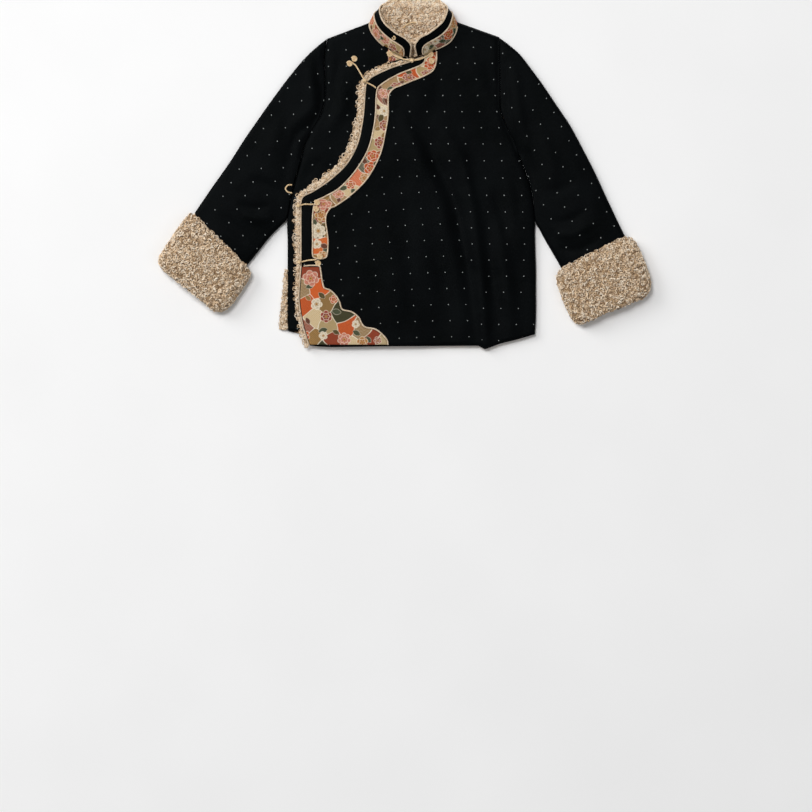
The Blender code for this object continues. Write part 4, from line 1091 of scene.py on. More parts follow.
def curl_tree():
    """Curled locks scattered over a surface: a short spiral of yarn on each place, turned at random."""
    tree = bpy.data.node_groups.new("fleece_curls", "GeometryNodeTree")
    sockets = (
        ("Geometry", "NodeSocketGeometry", None), ("Locks per square metre", "NodeSocketFloat", 1e5),
        ("Curl radius", "NodeSocketFloat", 0.002), ("Yarn radius", "NodeSocketFloat", 0.0006),
        ("Curl height", "NodeSocketFloat", 0.003), ("Turns", "NodeSocketFloat", 1.3),
        ("Places per turn", "NodeSocketInt", 7), ("Seed", "NodeSocketInt", 1),
        ("Yarn", "NodeSocketMaterial", None),
    )
    for label, kind, value in sockets:
        made = tree.interface.new_socket(label, in_out="INPUT", socket_type=kind)
        if value is not None:
            made.default_value = value
    tree.interface.new_socket("Geometry", in_out="OUTPUT", socket_type="NodeSocketGeometry")
    given = add(tree, "NodeGroupInput").outputs
    scatter = add(tree, "GeometryNodeDistributePointsOnFaces", {
        "Mesh": given["Geometry"], "Density": given["Locks per square metre"], "Seed": given["Seed"],
    })
    spiral = add(tree, "GeometryNodeCurveSpiral", {
        "Resolution": given["Places per turn"], "Rotations": given["Turns"], "Start Radius": given["Curl radius"],
        "Height": given["Curl height"],
    })
    narrow = add(tree, "ShaderNodeMath", {0: given["Curl radius"], 1: 0.55}, operation="MULTIPLY")
    tree.links.new(narrow.outputs[0], spiral.inputs["End Radius"])
    place = add(tree, "GeometryNodeSplineParameter")
    marked = add(tree, "GeometryNodeStoreNamedAttribute", {
        "Geometry": spiral.outputs[0], "Name": "tip", "Value": place.outputs["Factor"],
    }, data_type="FLOAT", domain="POINT")
    profile = add(tree, "GeometryNodeCurvePrimitiveCircle", {"Resolution": 3, "Radius": given["Yarn radius"]})
    yarn = add(tree, "GeometryNodeCurveToMesh", {
        "Curve": marked.outputs[0], "Profile Curve": profile.outputs[0], "Fill Caps": True,
    })
    turn = add(tree, "FunctionNodeRandomValue", {
        "Min": (-0.7, -0.7, -math.pi), "Max": (0.7, 0.7, math.pi), "Seed": given["Seed"],
    }, data_type="FLOAT_VECTOR")
    by = add(tree, "FunctionNodeEulerToRotation", {0: turn.outputs[0]})
    rotation = add(tree, "FunctionNodeRotateRotation", {
        "Rotation": scatter.outputs["Rotation"], "Rotate By": by.outputs[0],
    }, rotation_space="LOCAL")
    size = add(tree, "FunctionNodeRandomValue", {2: 0.7, 3: 1.35, "Seed": given["Seed"]}, data_type="FLOAT")
    placed = add(tree, "GeometryNodeInstanceOnPoints", {
        "Points": scatter.outputs["Points"], "Instance": yarn.outputs[0], "Rotation": rotation.outputs[0],
        "Scale": size.outputs[1],
    })
    shade = add(tree, "FunctionNodeRandomValue", {2: 0.0, 3: 1.0, "Seed": given["Seed"]}, data_type="FLOAT")
    tinted = add(tree, "GeometryNodeStoreNamedAttribute", {
        "Geometry": placed.outputs[0], "Name": "lock", "Value": shade.outputs[1],
    }, data_type="FLOAT", domain="INSTANCE")
    real = add(tree, "GeometryNodeRealizeInstances", {"Geometry": tinted.outputs[0]})
    dressed = add(tree, "GeometryNodeSetMaterial", {"Geometry": real.outputs[0], "Material": given["Yarn"]})
    add(tree, "NodeGroupOutput", {"Geometry": dressed.outputs[0]})
    return tree


CURL_TREE = curl_tree()
PRESSED_DEPTH = 1.6
CUFF_LOCKS = 3100
COLLAR_WOOL = {"radius": 2.9, "yarn": 0.95, "wool": LIGHTENED_COLLAR_CURLS}


def curls_on(name, points, faces, count, seed, radius=2.9, yarn=0.85, height=3.2, turns=1.05, places=7, wool=CURLS):
    """Curls over a hidden surface given in garment millimetres, as one plain mesh."""
    carrier = mesh_piece(name + "_carrier", points, faces, [CURLS], closed=False)
    area = surface_area(carrier)
    modifier = carrier.modifiers.new("Curls", "NODES")
    modifier.node_group = CURL_TREE
    wanted = {
        "Locks per square metre": count / area, "Curl radius": radius * MM, "Yarn radius": yarn * MM,
        "Curl height": height * MM, "Turns": turns, "Places per turn": places, "Seed": seed,
        "Yarn": wool,
    }
    for item in CURL_TREE.interface.items_tree:
        if item.in_out == "INPUT" and item.name in wanted:
            modifier[item.identifier] = wanted[item.name]
    bpy.context.view_layer.update()
    evaluated = carrier.evaluated_get(bpy.context.evaluated_depsgraph_get())
    data = bpy.data.meshes.new_from_object(evaluated)
    bpy.data.objects.remove(carrier, do_unlink=True)
    data.name = name
    where = np.empty(len(data.vertices) * 3, np.float32)
    data.vertices.foreach_get("co", where)
    level = where[2::3] / MM
    pressed = PRESSED_DEPTH * np.exp((level - PRESSED_DEPTH) / 3.0)
    where[2::3] = np.where(level < PRESSED_DEPTH, pressed, level) * MM
    data.vertices.foreach_set("co", where)
    data.polygons.foreach_set("use_smooth", np.ones(len(data.polygons), bool))
    return place_piece(add_object(name, data), "fleece")


def curls_on_grid(name, grid, count, seed, **sizes):
    rows, columns = grid.shape[:2]
    points = grid.reshape(-1, 3)
    faces = grid_quads(rows, columns)
    if face_normals(points, faces)[:, 2].sum() < 0:
        faces = faces[:, ::-1]
    return curls_on(name, points, faces, count, seed, **sizes)


# Tubes: piping, cords, coins and knots.


def tube_points(line, radius, sides, twist_mm, strands, depth, closed=False):
    """Rings round a line. Strands wind round it, each making a low ridge."""
    line = np.asarray(line, float)
    if closed:
        run = np.roll(line, -1, axis=0) - np.roll(line, 1, axis=0)
    else:
        run = np.gradient(line, axis=0)
    run /= np.linalg.norm(run, axis=1)[:, None]
    along = lengths_along(line)
    up = np.array([0.0, 0.0, 1.0]) if abs(run[0, 2]) < 0.9 else np.array([1.0, 0.0, 0.0])
    side = np.cross(up, run[0])
    side /= np.linalg.norm(side)
    rings, uv = [], []
    angles = np.linspace(0, 2 * math.pi, sides, endpoint=False)
    for k in range(len(line)):
        side = side - run[k] * (side @ run[k])
        side /= np.linalg.norm(side)
        other = np.cross(run[k], side)
        width = np.full(sides, float(radius))
        if strands:
            width *= 1 - depth + depth * np.abs(np.cos(strands / 2 * angles - math.pi * along[k] / twist_mm))
        rings.append(line[k] + np.outer(np.cos(angles) * width, side) + np.outer(np.sin(angles) * width, other))
        uv.append(np.column_stack([np.full(sides, along[k]), angles * radius]))
    return np.array(rings), np.array(uv)


def tube_faces(rings, uv, closed=False):
    """Points, faces and UV of a tube. Open ends are drawn in to a blunt tip."""
    rows, sides = rings.shape[:2]
    if not closed:
        def cap(ring, inner):
            centre = ring.mean(axis=0)
            push = centre - inner.mean(axis=0)
            push /= max(np.linalg.norm(push), 1e-9)
            size = np.linalg.norm(ring - centre, axis=1).mean()
            return [lerp(centre, ring, s) + push * size * d for s, d in ((0.75, 0.45), (0.35, 0.7), (0.02, 0.75))]

        start, end = cap(rings[0], rings[1]), cap(rings[-1], rings[-2])
        rings = np.concatenate([start[::-1], rings, end])
        uv = np.concatenate([[uv[0]] * 3, uv, [uv[-1]] * 3])
        rows += 6
    faces = grid_quads(rows, sides, 0, True)
    if closed:
        k = np.arange(sides)
        following = (k + 1) % sides
        last = (rows - 1) * sides
        faces = np.vstack([faces, np.stack([k + last, following + last, following, k], axis=1)])
    return rings.reshape(-1, 3), faces, uv.reshape(-1, 2)


def tube_piece(name, slot, node, material, line, *shape):
    """A tube along a line. Its shape is the radius, sides, twist, strands and depth of tube_points."""
    points, faces, uv = tube_faces(*tube_points(line, *shape))
    return place_piece(mesh_piece(name, points, faces, [material], uv), slot, node)


def joined(parts):
    points, faces, uvs, start = [], [], [], 0
    for part, quads, uv in parts:
        if signed_volume(part, quads) < 0:
            quads = quads[:, ::-1]
        points.append(part)
        faces.append(quads + start)
        uvs.append(uv)
        start += len(part)
    return np.vstack(points), np.vstack(faces), np.vstack(uvs)


def piping(name, node, line, radius=PIPING_RADIUS):
    """Cord edging: a satin-covered cord, a little uneven as sewn."""
    fine = fine_line(line, 2.2)
    fine[:, 2] += 0.15 * unevenness(fine, 12.0, 3)
    return tube_piece(name, "piping", node, PIPING, fine, radius, 10, 1.0, 0, 0.0)


def collar_ring():
    """A small open ring of cord that lies on the collar's black band."""
    frames = collar_frames(2.2)
    turn = np.linspace(0.9, 5.9, 12)
    reach = 3.4
    return [
        collar_place(frames, 45 + reach * math.cos(t), 0.79 + reach * math.sin(t) / 38, COLLAR_CLOTH + 1.5)
        for t in turn
    ]


def build_cords():
    for name, route in [*CORDS.items(), ("collar_loop", collar_ring())]:
        tube_piece(name + "_twisted", "cord", name, CORD, fine_line(route, 0.7), CORD_RADIUS, 12, 5.0, 3, 0.16)


def build_coins():
    """Flat coils of cord. The coil runs from the middle out and its end is tucked under."""
    pitch = 2 * COIN_CORD * 0.92
    start = 0.55
    turns = (COIN_OUTER - COIN_CORD - start) / pitch
    angle = np.linspace(0, 2 * math.pi * turns, 96)
    reach = start + pitch * angle / (2 * math.pi)
    for name, x, y, z in COINS:
        height = np.full(len(angle), z + COIN_CORD + 0.05)
        height[-6:] -= np.linspace(0, 0.5, 6)
        line = np.column_stack([x + reach * np.cos(angle), y + reach * np.sin(angle), height])
        tube_piece(name + "_coil", "cord", name, CORD, line, COIN_CORD, 10, 3.6, 3, 0.14)


def build_knots():
    """Ball knots: one cord woven three times round a ball, over a filled core."""
    t = np.linspace(0, 2 * math.pi, 180, endpoint=False)
    strand = 1.45
    core = KNOT_RADIUS - strand
    latitude = 1.12 * np.sin(4 * t)
    longitude = 3 * t
    reach = core + 0.35 * np.cos(4 * t)
    weave = np.column_stack([
        reach * np.cos(latitude) * np.cos(longitude),
        reach * np.cos(latitude) * np.sin(longitude),
        reach * np.sin(latitude),
    ])
    around = np.linspace(0, 2 * math.pi, 20, endpoint=False)
    polar = np.linspace(0.06, math.pi - 0.06, 12)
    ball = np.array([
        [(core * math.sin(p) * math.cos(a), core * math.sin(p) * math.sin(a), core * math.cos(p)) for a in around]
        for p in polar
    ])
    for name, x, y, z in KNOTS:
        middle = np.array([x, y, z])
        rings, uv = tube_points(weave + middle, strand, 9, 4.0, 3, 0.12, closed=True)
        cord = tube_faces(rings, uv, closed=True)
        ball_uv = np.zeros((*ball.shape[:2], 2))
        filling = tube_faces(ball + middle, ball_uv)
        points, faces, uv = joined([cord, filling])
        piece = mesh_piece(name + "_woven", points, faces, [CORD], uv, closed=False)
        place_piece(piece, "cord", name)


# Brocade: ordinary flowers, leaves and rings on patches of colour with cream outlines. The colours and the
# scale are those of the photograph, the motifs and their places are the builder's own.

TINTS = {name: np.array(linear(value)[:3]) for name, value in {
    "cream": "#d2bd96", "beige": "#ac9468", "tan": "#8c6b3c", "rust": "#8a3719", "orange": "#cc5a1e",
    "olive": "#3a371a", "green": "#1c3d2e", "wine": "#4f1f1c", "pink": "#d08f78", "rose": "#a94a36",
    "gold": "#c2904a", "white": "#f0e4cc", "plum": "#4b3345",
}.items()}
PETALS = [("pink", "rose"), ("orange", "rust"), ("white", "tan"), ("rose", "wine"), ("gold", "rust")]
LEAVES = ["green", "olive", "tan", "wine", "green"]
GROUNDS = ["beige", "tan", "cream", "orange", "beige", "olive", "cream", "rust", "tan"]


def paint(colours, mask, tint, strength=1.0):
    share = np.clip(mask, 0, 1)[:, None] * strength
    colours += (TINTS[tint] - colours) * share


def soft_edge(distance, width=0.9):
    """1 inside, 0 outside, with a soft line of a thread's width between."""
    return np.clip(0.5 - distance / width, 0, 1)


def paint_flower(colours, u, v, at, radius, petals, turn, light, dark):
    """Two rounds of petals with cream outlines and a gold middle."""
    du, dv = u - at[0], v - at[1]
    away, angle = np.hypot(du, dv), np.arctan2(dv, du) + turn
    for size, shift in ((1.0, 0.0), (0.6, math.pi / petals)):
        wave = np.abs(np.cos(petals * (angle + shift) / 2)) ** 0.6
        rim = radius * size * (0.7 + 0.3 * wave)
        paint(colours, soft_edge(away - rim), light)
        paint(colours, soft_edge(away - rim) * np.clip(1.15 - away / rim, 0, 1), dark)
        between = np.abs(np.cos(petals * (angle + shift) / 2)) * away
        paint(colours, soft_edge(between - 0.5) * (away < rim) * (away > 0.3 * rim), "white", 0.8)
        paint(colours, soft_edge(np.abs(away - rim) - 0.45), "white", 0.9)
    paint(colours, soft_edge(away - radius * 0.2), "gold")
    paint(colours, soft_edge(away - radius * 0.08), "wine")


def paint_leaf(colours, u, v, at, length, turn, tint):
    du, dv = u - at[0], v - at[1]
    along = du * math.cos(turn) + dv * math.sin(turn)
    across = -du * math.sin(turn) + dv * math.cos(turn)
    share = np.clip(along / length, 0, 1)
    half = 0.3 * length * np.sin(math.pi * share) ** 0.8
    body = (along > 0) * (along < length)
    paint(colours, soft_edge(np.abs(across) - half) * body, tint)
    paint(colours, soft_edge(np.abs(np.abs(across) - half) - 0.3) * body, "white", 0.7)
    ribs = np.abs(((along + np.abs(across)) / 2.6) % 1 - 0.5) * 2.6
    paint(colours, soft_edge(np.abs(across) - half) * body * soft_edge(ribs - 0.2), "gold", 0.5)


def paint_patches(colours, u, v, patches):
    """Patches of ground colour that meet along cream lines: place u, v, tint and pattern of each."""
    bent_u, bent_v = u + 2.4 * np.sin(v / 6.5), v + 2.4 * np.sin(u / 8.0)
    away = np.array([np.hypot(bent_u - p[0], bent_v - p[1]) for p in patches])
    order = np.sort(away, axis=0)
    nearest = away.argmin(axis=0)
    for k, (at_u, at_v, tint, pattern) in enumerate(patches):
        mask = (nearest == k).astype(float)
        paint(colours, mask, tint)
        if pattern == "trellis":
            lines = np.abs(np.sin(math.pi * (u + v) / 4.4)) * np.abs(np.sin(math.pi * (u - v) / 4.4))
            paint(colours, mask * soft_edge(lines - 0.14, 0.12), "gold", 0.6)
        if pattern == "rings":
            rings = np.abs((np.hypot(u - at_u, (v - at_v) * 1.5) / 2.9) % 1 - 0.5) * 2.9
            paint(colours, mask * soft_edge(rings - 0.45), "rust", 0.85)
        if pattern == "waves":
            lines = np.abs(((v + 1.3 * np.sin(u / 2.2)) / 3.0) % 1 - 0.5) * 3.0
            paint(colours, mask * soft_edge(lines - 0.3), "white", 0.55)
    paint(colours, soft_edge(order[1] - order[0] - 1.1), "white", 0.9)


def brocade_figure(u, v, length, width, seed, pitch):
    """Colours of a brocade strip over places u along and v across, in millimetres."""
    draw = np.random.default_rng(seed)
    colours = np.tile(TINTS["cream"], (len(u), 1))
    patches, along, k = [], -4.0, int(draw.integers(len(GROUNDS)))
    while along < length + pitch:
        pattern = str(draw.choice(["trellis", "waves", "plain", "rings", "trellis"]))
        patches.append((along, draw.uniform(0.1, 0.9) * width, GROUNDS[k % len(GROUNDS)], pattern))
        along += draw.uniform(0.8, 1.3) * pitch
        k += 1 + int(draw.integers(2))
    paint_patches(colours, u, v, patches)
    along, k = 4.0, 0
    while along < length:
        centre = (along, draw.uniform(0.2, 0.8) * width)
        radius = draw.uniform(0.3, 0.5) * width
        for _ in range(int(draw.integers(1, 4))):
            turn = draw.uniform(0, 2 * math.pi)
            start = (centre[0] + math.cos(turn) * radius * 0.7, centre[1] + math.sin(turn) * radius * 0.7)
            paint_leaf(colours, u, v, start, draw.uniform(0.4, 0.65) * width, turn, LEAVES[int(draw.integers(5))])
        light, dark = PETALS[int(draw.integers(len(PETALS)))]
        paint_flower(colours, u, v, centre, radius, int(draw.integers(5, 8)), draw.uniform(0, 6.28), light, dark)
        along += draw.uniform(0.7, 1.2) * width
    return colours


CORNER_PATCHES = [
    (-212, 158, "rust", "plain"), (-236, 120, "tan", "waves"), (-196, 120, "orange", "plain"),
    (-224, 84, "orange", "rings"), (-180, 92, "tan", "plain"), (-206, 60, "cream", "trellis"),
    (-228, 38, "rust", "waves"), (-150, 66, "olive", "plain"), (-176, 44, "beige", "plain"),
    (-136, 38, "orange", "rings"), (-206, 14, "tan", "trellis"), (-166, 10, "rust", "plain"),
    (-110, 30, "tan", "waves"), (-128, 4, "cream", "trellis"), (-86, 12, "rust", "plain"),
    (-62, 2, "beige", "waves"), (-186, -4, "olive", "plain"),
]
CORNER_LEAVES = [
    (-222, 122, 20, 0.5, "green"), (-196, 112, 18, -0.7, "olive"), (-168, 74, 20, -0.2, "green"),
    (-222, 60, 16, -1.1, "wine"), (-124, 32, 18, -0.5, "green"), (-196, 30, 20, 0.3, "green"),
    (-152, 26, 16, 2.7, "olive"), (-96, 20, 16, -0.9, "green"), (-212, 96, 15, 2.4, "tan"),
]
CORNER_FLOWERS = [
    (-212, 142, 17, 6, 0.3, 0), (-200, 88, 12, 5, 0.1, 2), (-164, 98, 9, 5, 0.8, 1), (-226, 22, 12, 6, 0.4, 1),
    (-180, 62, 13, 6, 0.5, 3), (-142, 14, 14, 7, 0.2, 0), (-104, 8, 12, 5, 0.9, 4), (-186, 22, 9, 5, 0.6, 2),
    (-118, 46, 8, 5, 0.2, 2), (-72, 12, 8, 5, 0.5, 3),
]


def corner_figure(x, y):
    """The hem corner: the same patches, leaves and flowers, drawn larger."""
    colours = np.tile(TINTS["cream"], (len(x), 1))
    paint_patches(colours, x, y, CORNER_PATCHES)
    for at_x, at_y, length, turn, tint in CORNER_LEAVES:
        paint_leaf(colours, x, y, (at_x, at_y), length, turn, tint)
    for at_x, at_y, radius, petals, turn, pair in CORNER_FLOWERS:
        light, dark = PETALS[pair]
        paint_flower(colours, x, y, (at_x, at_y), radius, petals, turn, light, dark)
    return colours


def band_shell(inner_line, outer_line, height, step, across_count, rise):
    """A thin band that lies between two lines: closed grids with soft long edges, and u, v on it."""
    places = spaced_places(inner_line, step)
    a, b = curve_at(inner_line, places), curve_at(outer_line, places)
    share = np.linspace(0, 1, across_count)
    plan = np.stack([lerp(a, b, t) for t in share], axis=1)
    x, y = plan[..., 0], plan[..., 1]
    base = height(x, y)
    width = np.linalg.norm(b - a, axis=1)[:, None]
    edge = np.minimum(share[None, :] * width, (1 - share[None, :]) * width)
    puff = quarter_round(edge, 3.0)
    top = np.dstack([plan, base + 0.25 + (rise - 0.25) * puff])
    bottom = np.dstack([plan, base + 0.1 + 0 * puff])
    middle = (a + b) / 2
    along = lengths_along(middle)
    u = np.repeat(along[:, None], across_count, axis=1)
    v = share[None, :] * width
    return top, bottom, u, v


BROCADE_TOP = {2: (27, 610), 4: (51.5, 617)}
BROCADE_FOOT = {2: (-202, 184.5), 4: (-184, 184.5)}


def brocade_piece(name, top, bottom, u, v, seed, pitch):
    points, faces = one_sided(top, bottom)
    u, v = (np.concatenate([k.ravel(), grid_rim(k)]) for k in (u, v))
    figure = brocade_figure(u, v, u.max(), v.max(), seed, pitch)
    return mesh_piece(name, points, faces, [BROCADE], np.column_stack([u, v]), figure, closed=False)


def placket_line(column, first, foot=False):
    """One line of the placket. The brocade runs on past the last section, up to the collar."""
    line = [row[column : column + 2] for row in OVER_FRONT[first : LAST_BAND_ROW + 1]]
    if first == FIRST_BROCADE_ROW:
        line.append(BROCADE_TOP[column])
    if foot:
        line.insert(0, BROCADE_FOOT[column])
    return line


def inset_lines(a, b, start, end):
    a, b = np.asarray(a, float), np.asarray(b, float)
    run = (b - a) / np.linalg.norm(b - a, axis=1)[:, None]
    return a + run * start, b - run * end


def build_placket():
    gap = 1.2
    lines = inset_lines(placket_line(0, FIRST_BAND_ROW), placket_line(2, FIRST_BAND_ROW), 0.3, gap)
    top, bottom, u, v = band_shell(*lines, over_top, 3.0, 10, BAND_RISE)
    points, faces, kinds = two_sided(top, bottom)
    du, dv = over_dots(points[:, 0], points[:, 1])
    black = mesh_piece("placket_black_cloth", points, faces, [COTTON], np.column_stack([du + 9, dv + 6]))
    place_piece(black, "black_cotton", "placket_black_band")

    sides = [placket_line(column, FIRST_BROCADE_ROW, True) for column in (2, 4)]
    lines = inset_lines(*sides, 0.6, 0.6)
    top, bottom, u, v = band_shell(*lines, over_top, 1.0, 30, BAND_RISE)
    brocade = brocade_piece("placket_brocade_cloth", top, bottom, u, v, 11, 27)
    place_piece(brocade, "brocade", "placket_brocade_band")

    inner, outer = placket_line(2, FIRST_BROCADE_ROW), placket_line(4, FIRST_BROCADE_ROW)
    end_x = (inner[0][0] + outer[0][0]) / 2
    end_y = inner[0][1] - 8
    loop = inner[::-1] + [(end_x - 8, end_y + 1), (end_x, end_y), (end_x + 8, end_y + 1)] + outer
    loop = np.array(loop, float)
    height = over_top(loop[:, 0], loop[:, 1]) + SEAT + PIPING_RADIUS - 0.2
    piping("placket_brocade_edging", "placket_brocade_piping", np.column_stack([loop, height]), 1.5)

    edge = np.array([row[:2] for row in OVER_FRONT[: LAST_BAND_ROW + 1]], float)
    beside = edge + outward_normals(edge) * (PIPING_RADIUS + SEAT)
    height = np.full(len(edge), OVER_ON_UNDER + WALL - PIPING_RADIUS / 2 + 0.4)
    piping("placket_edging", "placket_edge_piping", np.column_stack([beside, height]))
    return edge, black, brocade


def fleece_strip(name, node, near, far, floor, crest, lip, count, seed):
    """A rounded strip of fleece with curls all over its upper side."""
    places = spaced_places(near, 2.6)
    a, b = curve_at(near, places), curve_at(far, places)
    wave = 1.6 * unevenness(np.column_stack([a, 0 * a[:, :1]]), 9.0, seed)
    run = (b - a) / np.linalg.norm(b - a, axis=1)[:, None]
    b = b + run * (wave - 1.0)[:, None]
    share = np.linspace(0, 1, 9)
    plan = np.stack([lerp(a, b, t) for t in share], axis=1)
    shape = lerp(crest, lip, smooth(share))[None, :] + np.zeros(plan.shape[:2])
    lumps = unevenness(np.dstack([plan, shape]).reshape(-1, 3), 7.0, seed + 2).reshape(shape.shape)
    top = np.dstack([plan, shape + 0.7 * lumps])
    bottom = np.dstack([plan, np.full(shape.shape, floor)])
    points, faces, kinds = two_sided(top, bottom)
    piece = mesh_piece(name, points, faces, [GROUND], points[:, :2])
    place_piece(piece, "fleece", node)
    curls = curls_on_grid(name + "_curls", top, count, seed, radius=2.4, yarn=0.8, height=3.0)
    return piece, curls


def edge_loops(name, line, width, count, seed):
    """Long loose loops of fleece along an edge."""
    side = outward_normals(line)
    flat = np.column_stack([side, np.zeros(len(side))])
    grid = np.stack([line - flat * width / 2, line + flat * width / 2], axis=1)
    return curls_on_grid(name, grid, count, seed, radius=4.2, yarn=0.95, height=2.0, places=13)


def build_placket_fleece(edge):
    reach = np.array([row[7] for row in OVER_FRONT[: LAST_BAND_ROW + 1]], float)
    side = outward_normals(edge)
    near = edge + side * 3.6
    far = edge + side * reach[:, None]
    floor = UNDER_BOTTOM + WALL + SEAT
    return fleece_strip(
        "placket_fleece_strip", "placket_fleece", near[:-1], far[:-1], floor, OVER_ON_UNDER + WALL - 1.2,
        floor + 2.4, 1500, 21,
    )


def build_corner():
    left = fine_line(CORNER_LEFT[::-1], 1.5)
    edge = curve_at(CORNER_EDGE, spaced_places(CORNER_EDGE, 1.5))
    share = np.linspace(0, 1, 200)
    a = np.column_stack([np.interp(share, np.linspace(0, 1, len(left)), left[:, k]) for k in (0, 1)])
    b = np.column_stack([np.interp(share, np.linspace(0, 1, len(edge)), edge[:, k]) for k in (0, 1)])
    across = np.linspace(0, 1, 150)
    plan = np.stack([lerp(a, b, t) for t in across], axis=1)
    x, y = plan[..., 0], plan[..., 1]
    base = over_top(x, y)
    puff = quarter_round(border_distance(plan, 3.0), 3.0)
    top = np.dstack([plan, base + 0.5 + 1.3 * puff])
    bottom = np.dstack([plan, base + 0.2])
    points, faces = one_sided(top, bottom)
    figure = corner_figure(points[:, 0], points[:, 1])
    piece = mesh_piece("hem_corner_cloth", points, faces, [BROCADE], points[:, :2], figure, closed=False)
    place_piece(piece, "brocade", "hem_corner_brocade")
    line = np.array([(-226, 166), (-210, 167.4)] + CORNER_EDGE, float)
    beside = line + outward_normals(line) * 1.7
    height = over_top(beside[:, 0], beside[:, 1]) + SEAT + PIPING_RADIUS + 0.3
    piping("hem_corner_edging", "hem_corner_piping", np.column_stack([beside, height]))
    return piece


def build_under_strip():
    low, high = UNDER_STRIP
    lines = np.array(low, float), np.array(high, float)
    top, bottom, u, v = band_shell(*lines, under_top, 1.2, 16, BAND_RISE)
    piece = brocade_piece("under_front_brocade_cloth", top, bottom, u, v, 24, 14)
    place_piece(piece, "brocade", "under_front_brocade")
    return piece


# Collar.


def collar_frames(step):
    rows = np.array(COLLAR, float)
    places = spaced_places(rows[:, :3], step)
    fine = curve_at(rows, places)
    seam, top = fine[:, :3], fine[:, 3:]
    run = np.gradient(seam + top, axis=0)
    out = np.cross(top - seam, run)
    out /= np.linalg.norm(out, axis=1)[:, None]
    return seam, top, out


def collar_place(frames, along, span, out):
    """One place on the collar: how far along its seam, how high between seam and top, how far out."""
    seam, top, normal = frames
    measured = lengths_along(seam)
    a, b, n = (np.array([np.interp(along, measured, part[:, k]) for k in range(3)]) for part in (seam, top, normal))
    return lerp(a, b, span) + n * (out + COLLAR_BULGE * math.sin(math.pi * max(span, 0.0)))


def collar_grid(frames, spans, out):
    seam, top, normal = frames
    columns = []
    for share in spans:
        bulge = COLLAR_BULGE * math.sin(math.pi * share)
        columns.append(lerp(seam, top, share) + normal * (out + bulge))
    return np.stack(columns, axis=1)


def collar_shell(frames, low, high, count, out_from, out_to):
    spans = np.linspace(low, high, count)
    top, bottom = collar_grid(frames, spans, out_to), collar_grid(frames, spans, out_from)
    middle = (top + bottom) / 2
    for k, keep in ((0, 0.3), (1, 0.8), (-2, 0.8), (-1, 0.3)):
        top[:, k] = lerp(middle[:, k], top[:, k], keep)
        bottom[:, k] = lerp(middle[:, k], bottom[:, k], keep)
    return top, bottom


def shell_uv(grid):
    down = np.linalg.norm(np.diff(grid, axis=0), axis=2)[:, grid.shape[1] // 2]
    across = np.linalg.norm(np.diff(grid, axis=1), axis=2)
    u = np.repeat(np.concatenate([[0], np.cumsum(down)])[:, None], grid.shape[1], axis=1)
    v = np.concatenate([np.zeros((len(grid), 1)), np.cumsum(across, axis=1)], axis=1)
    return u, v


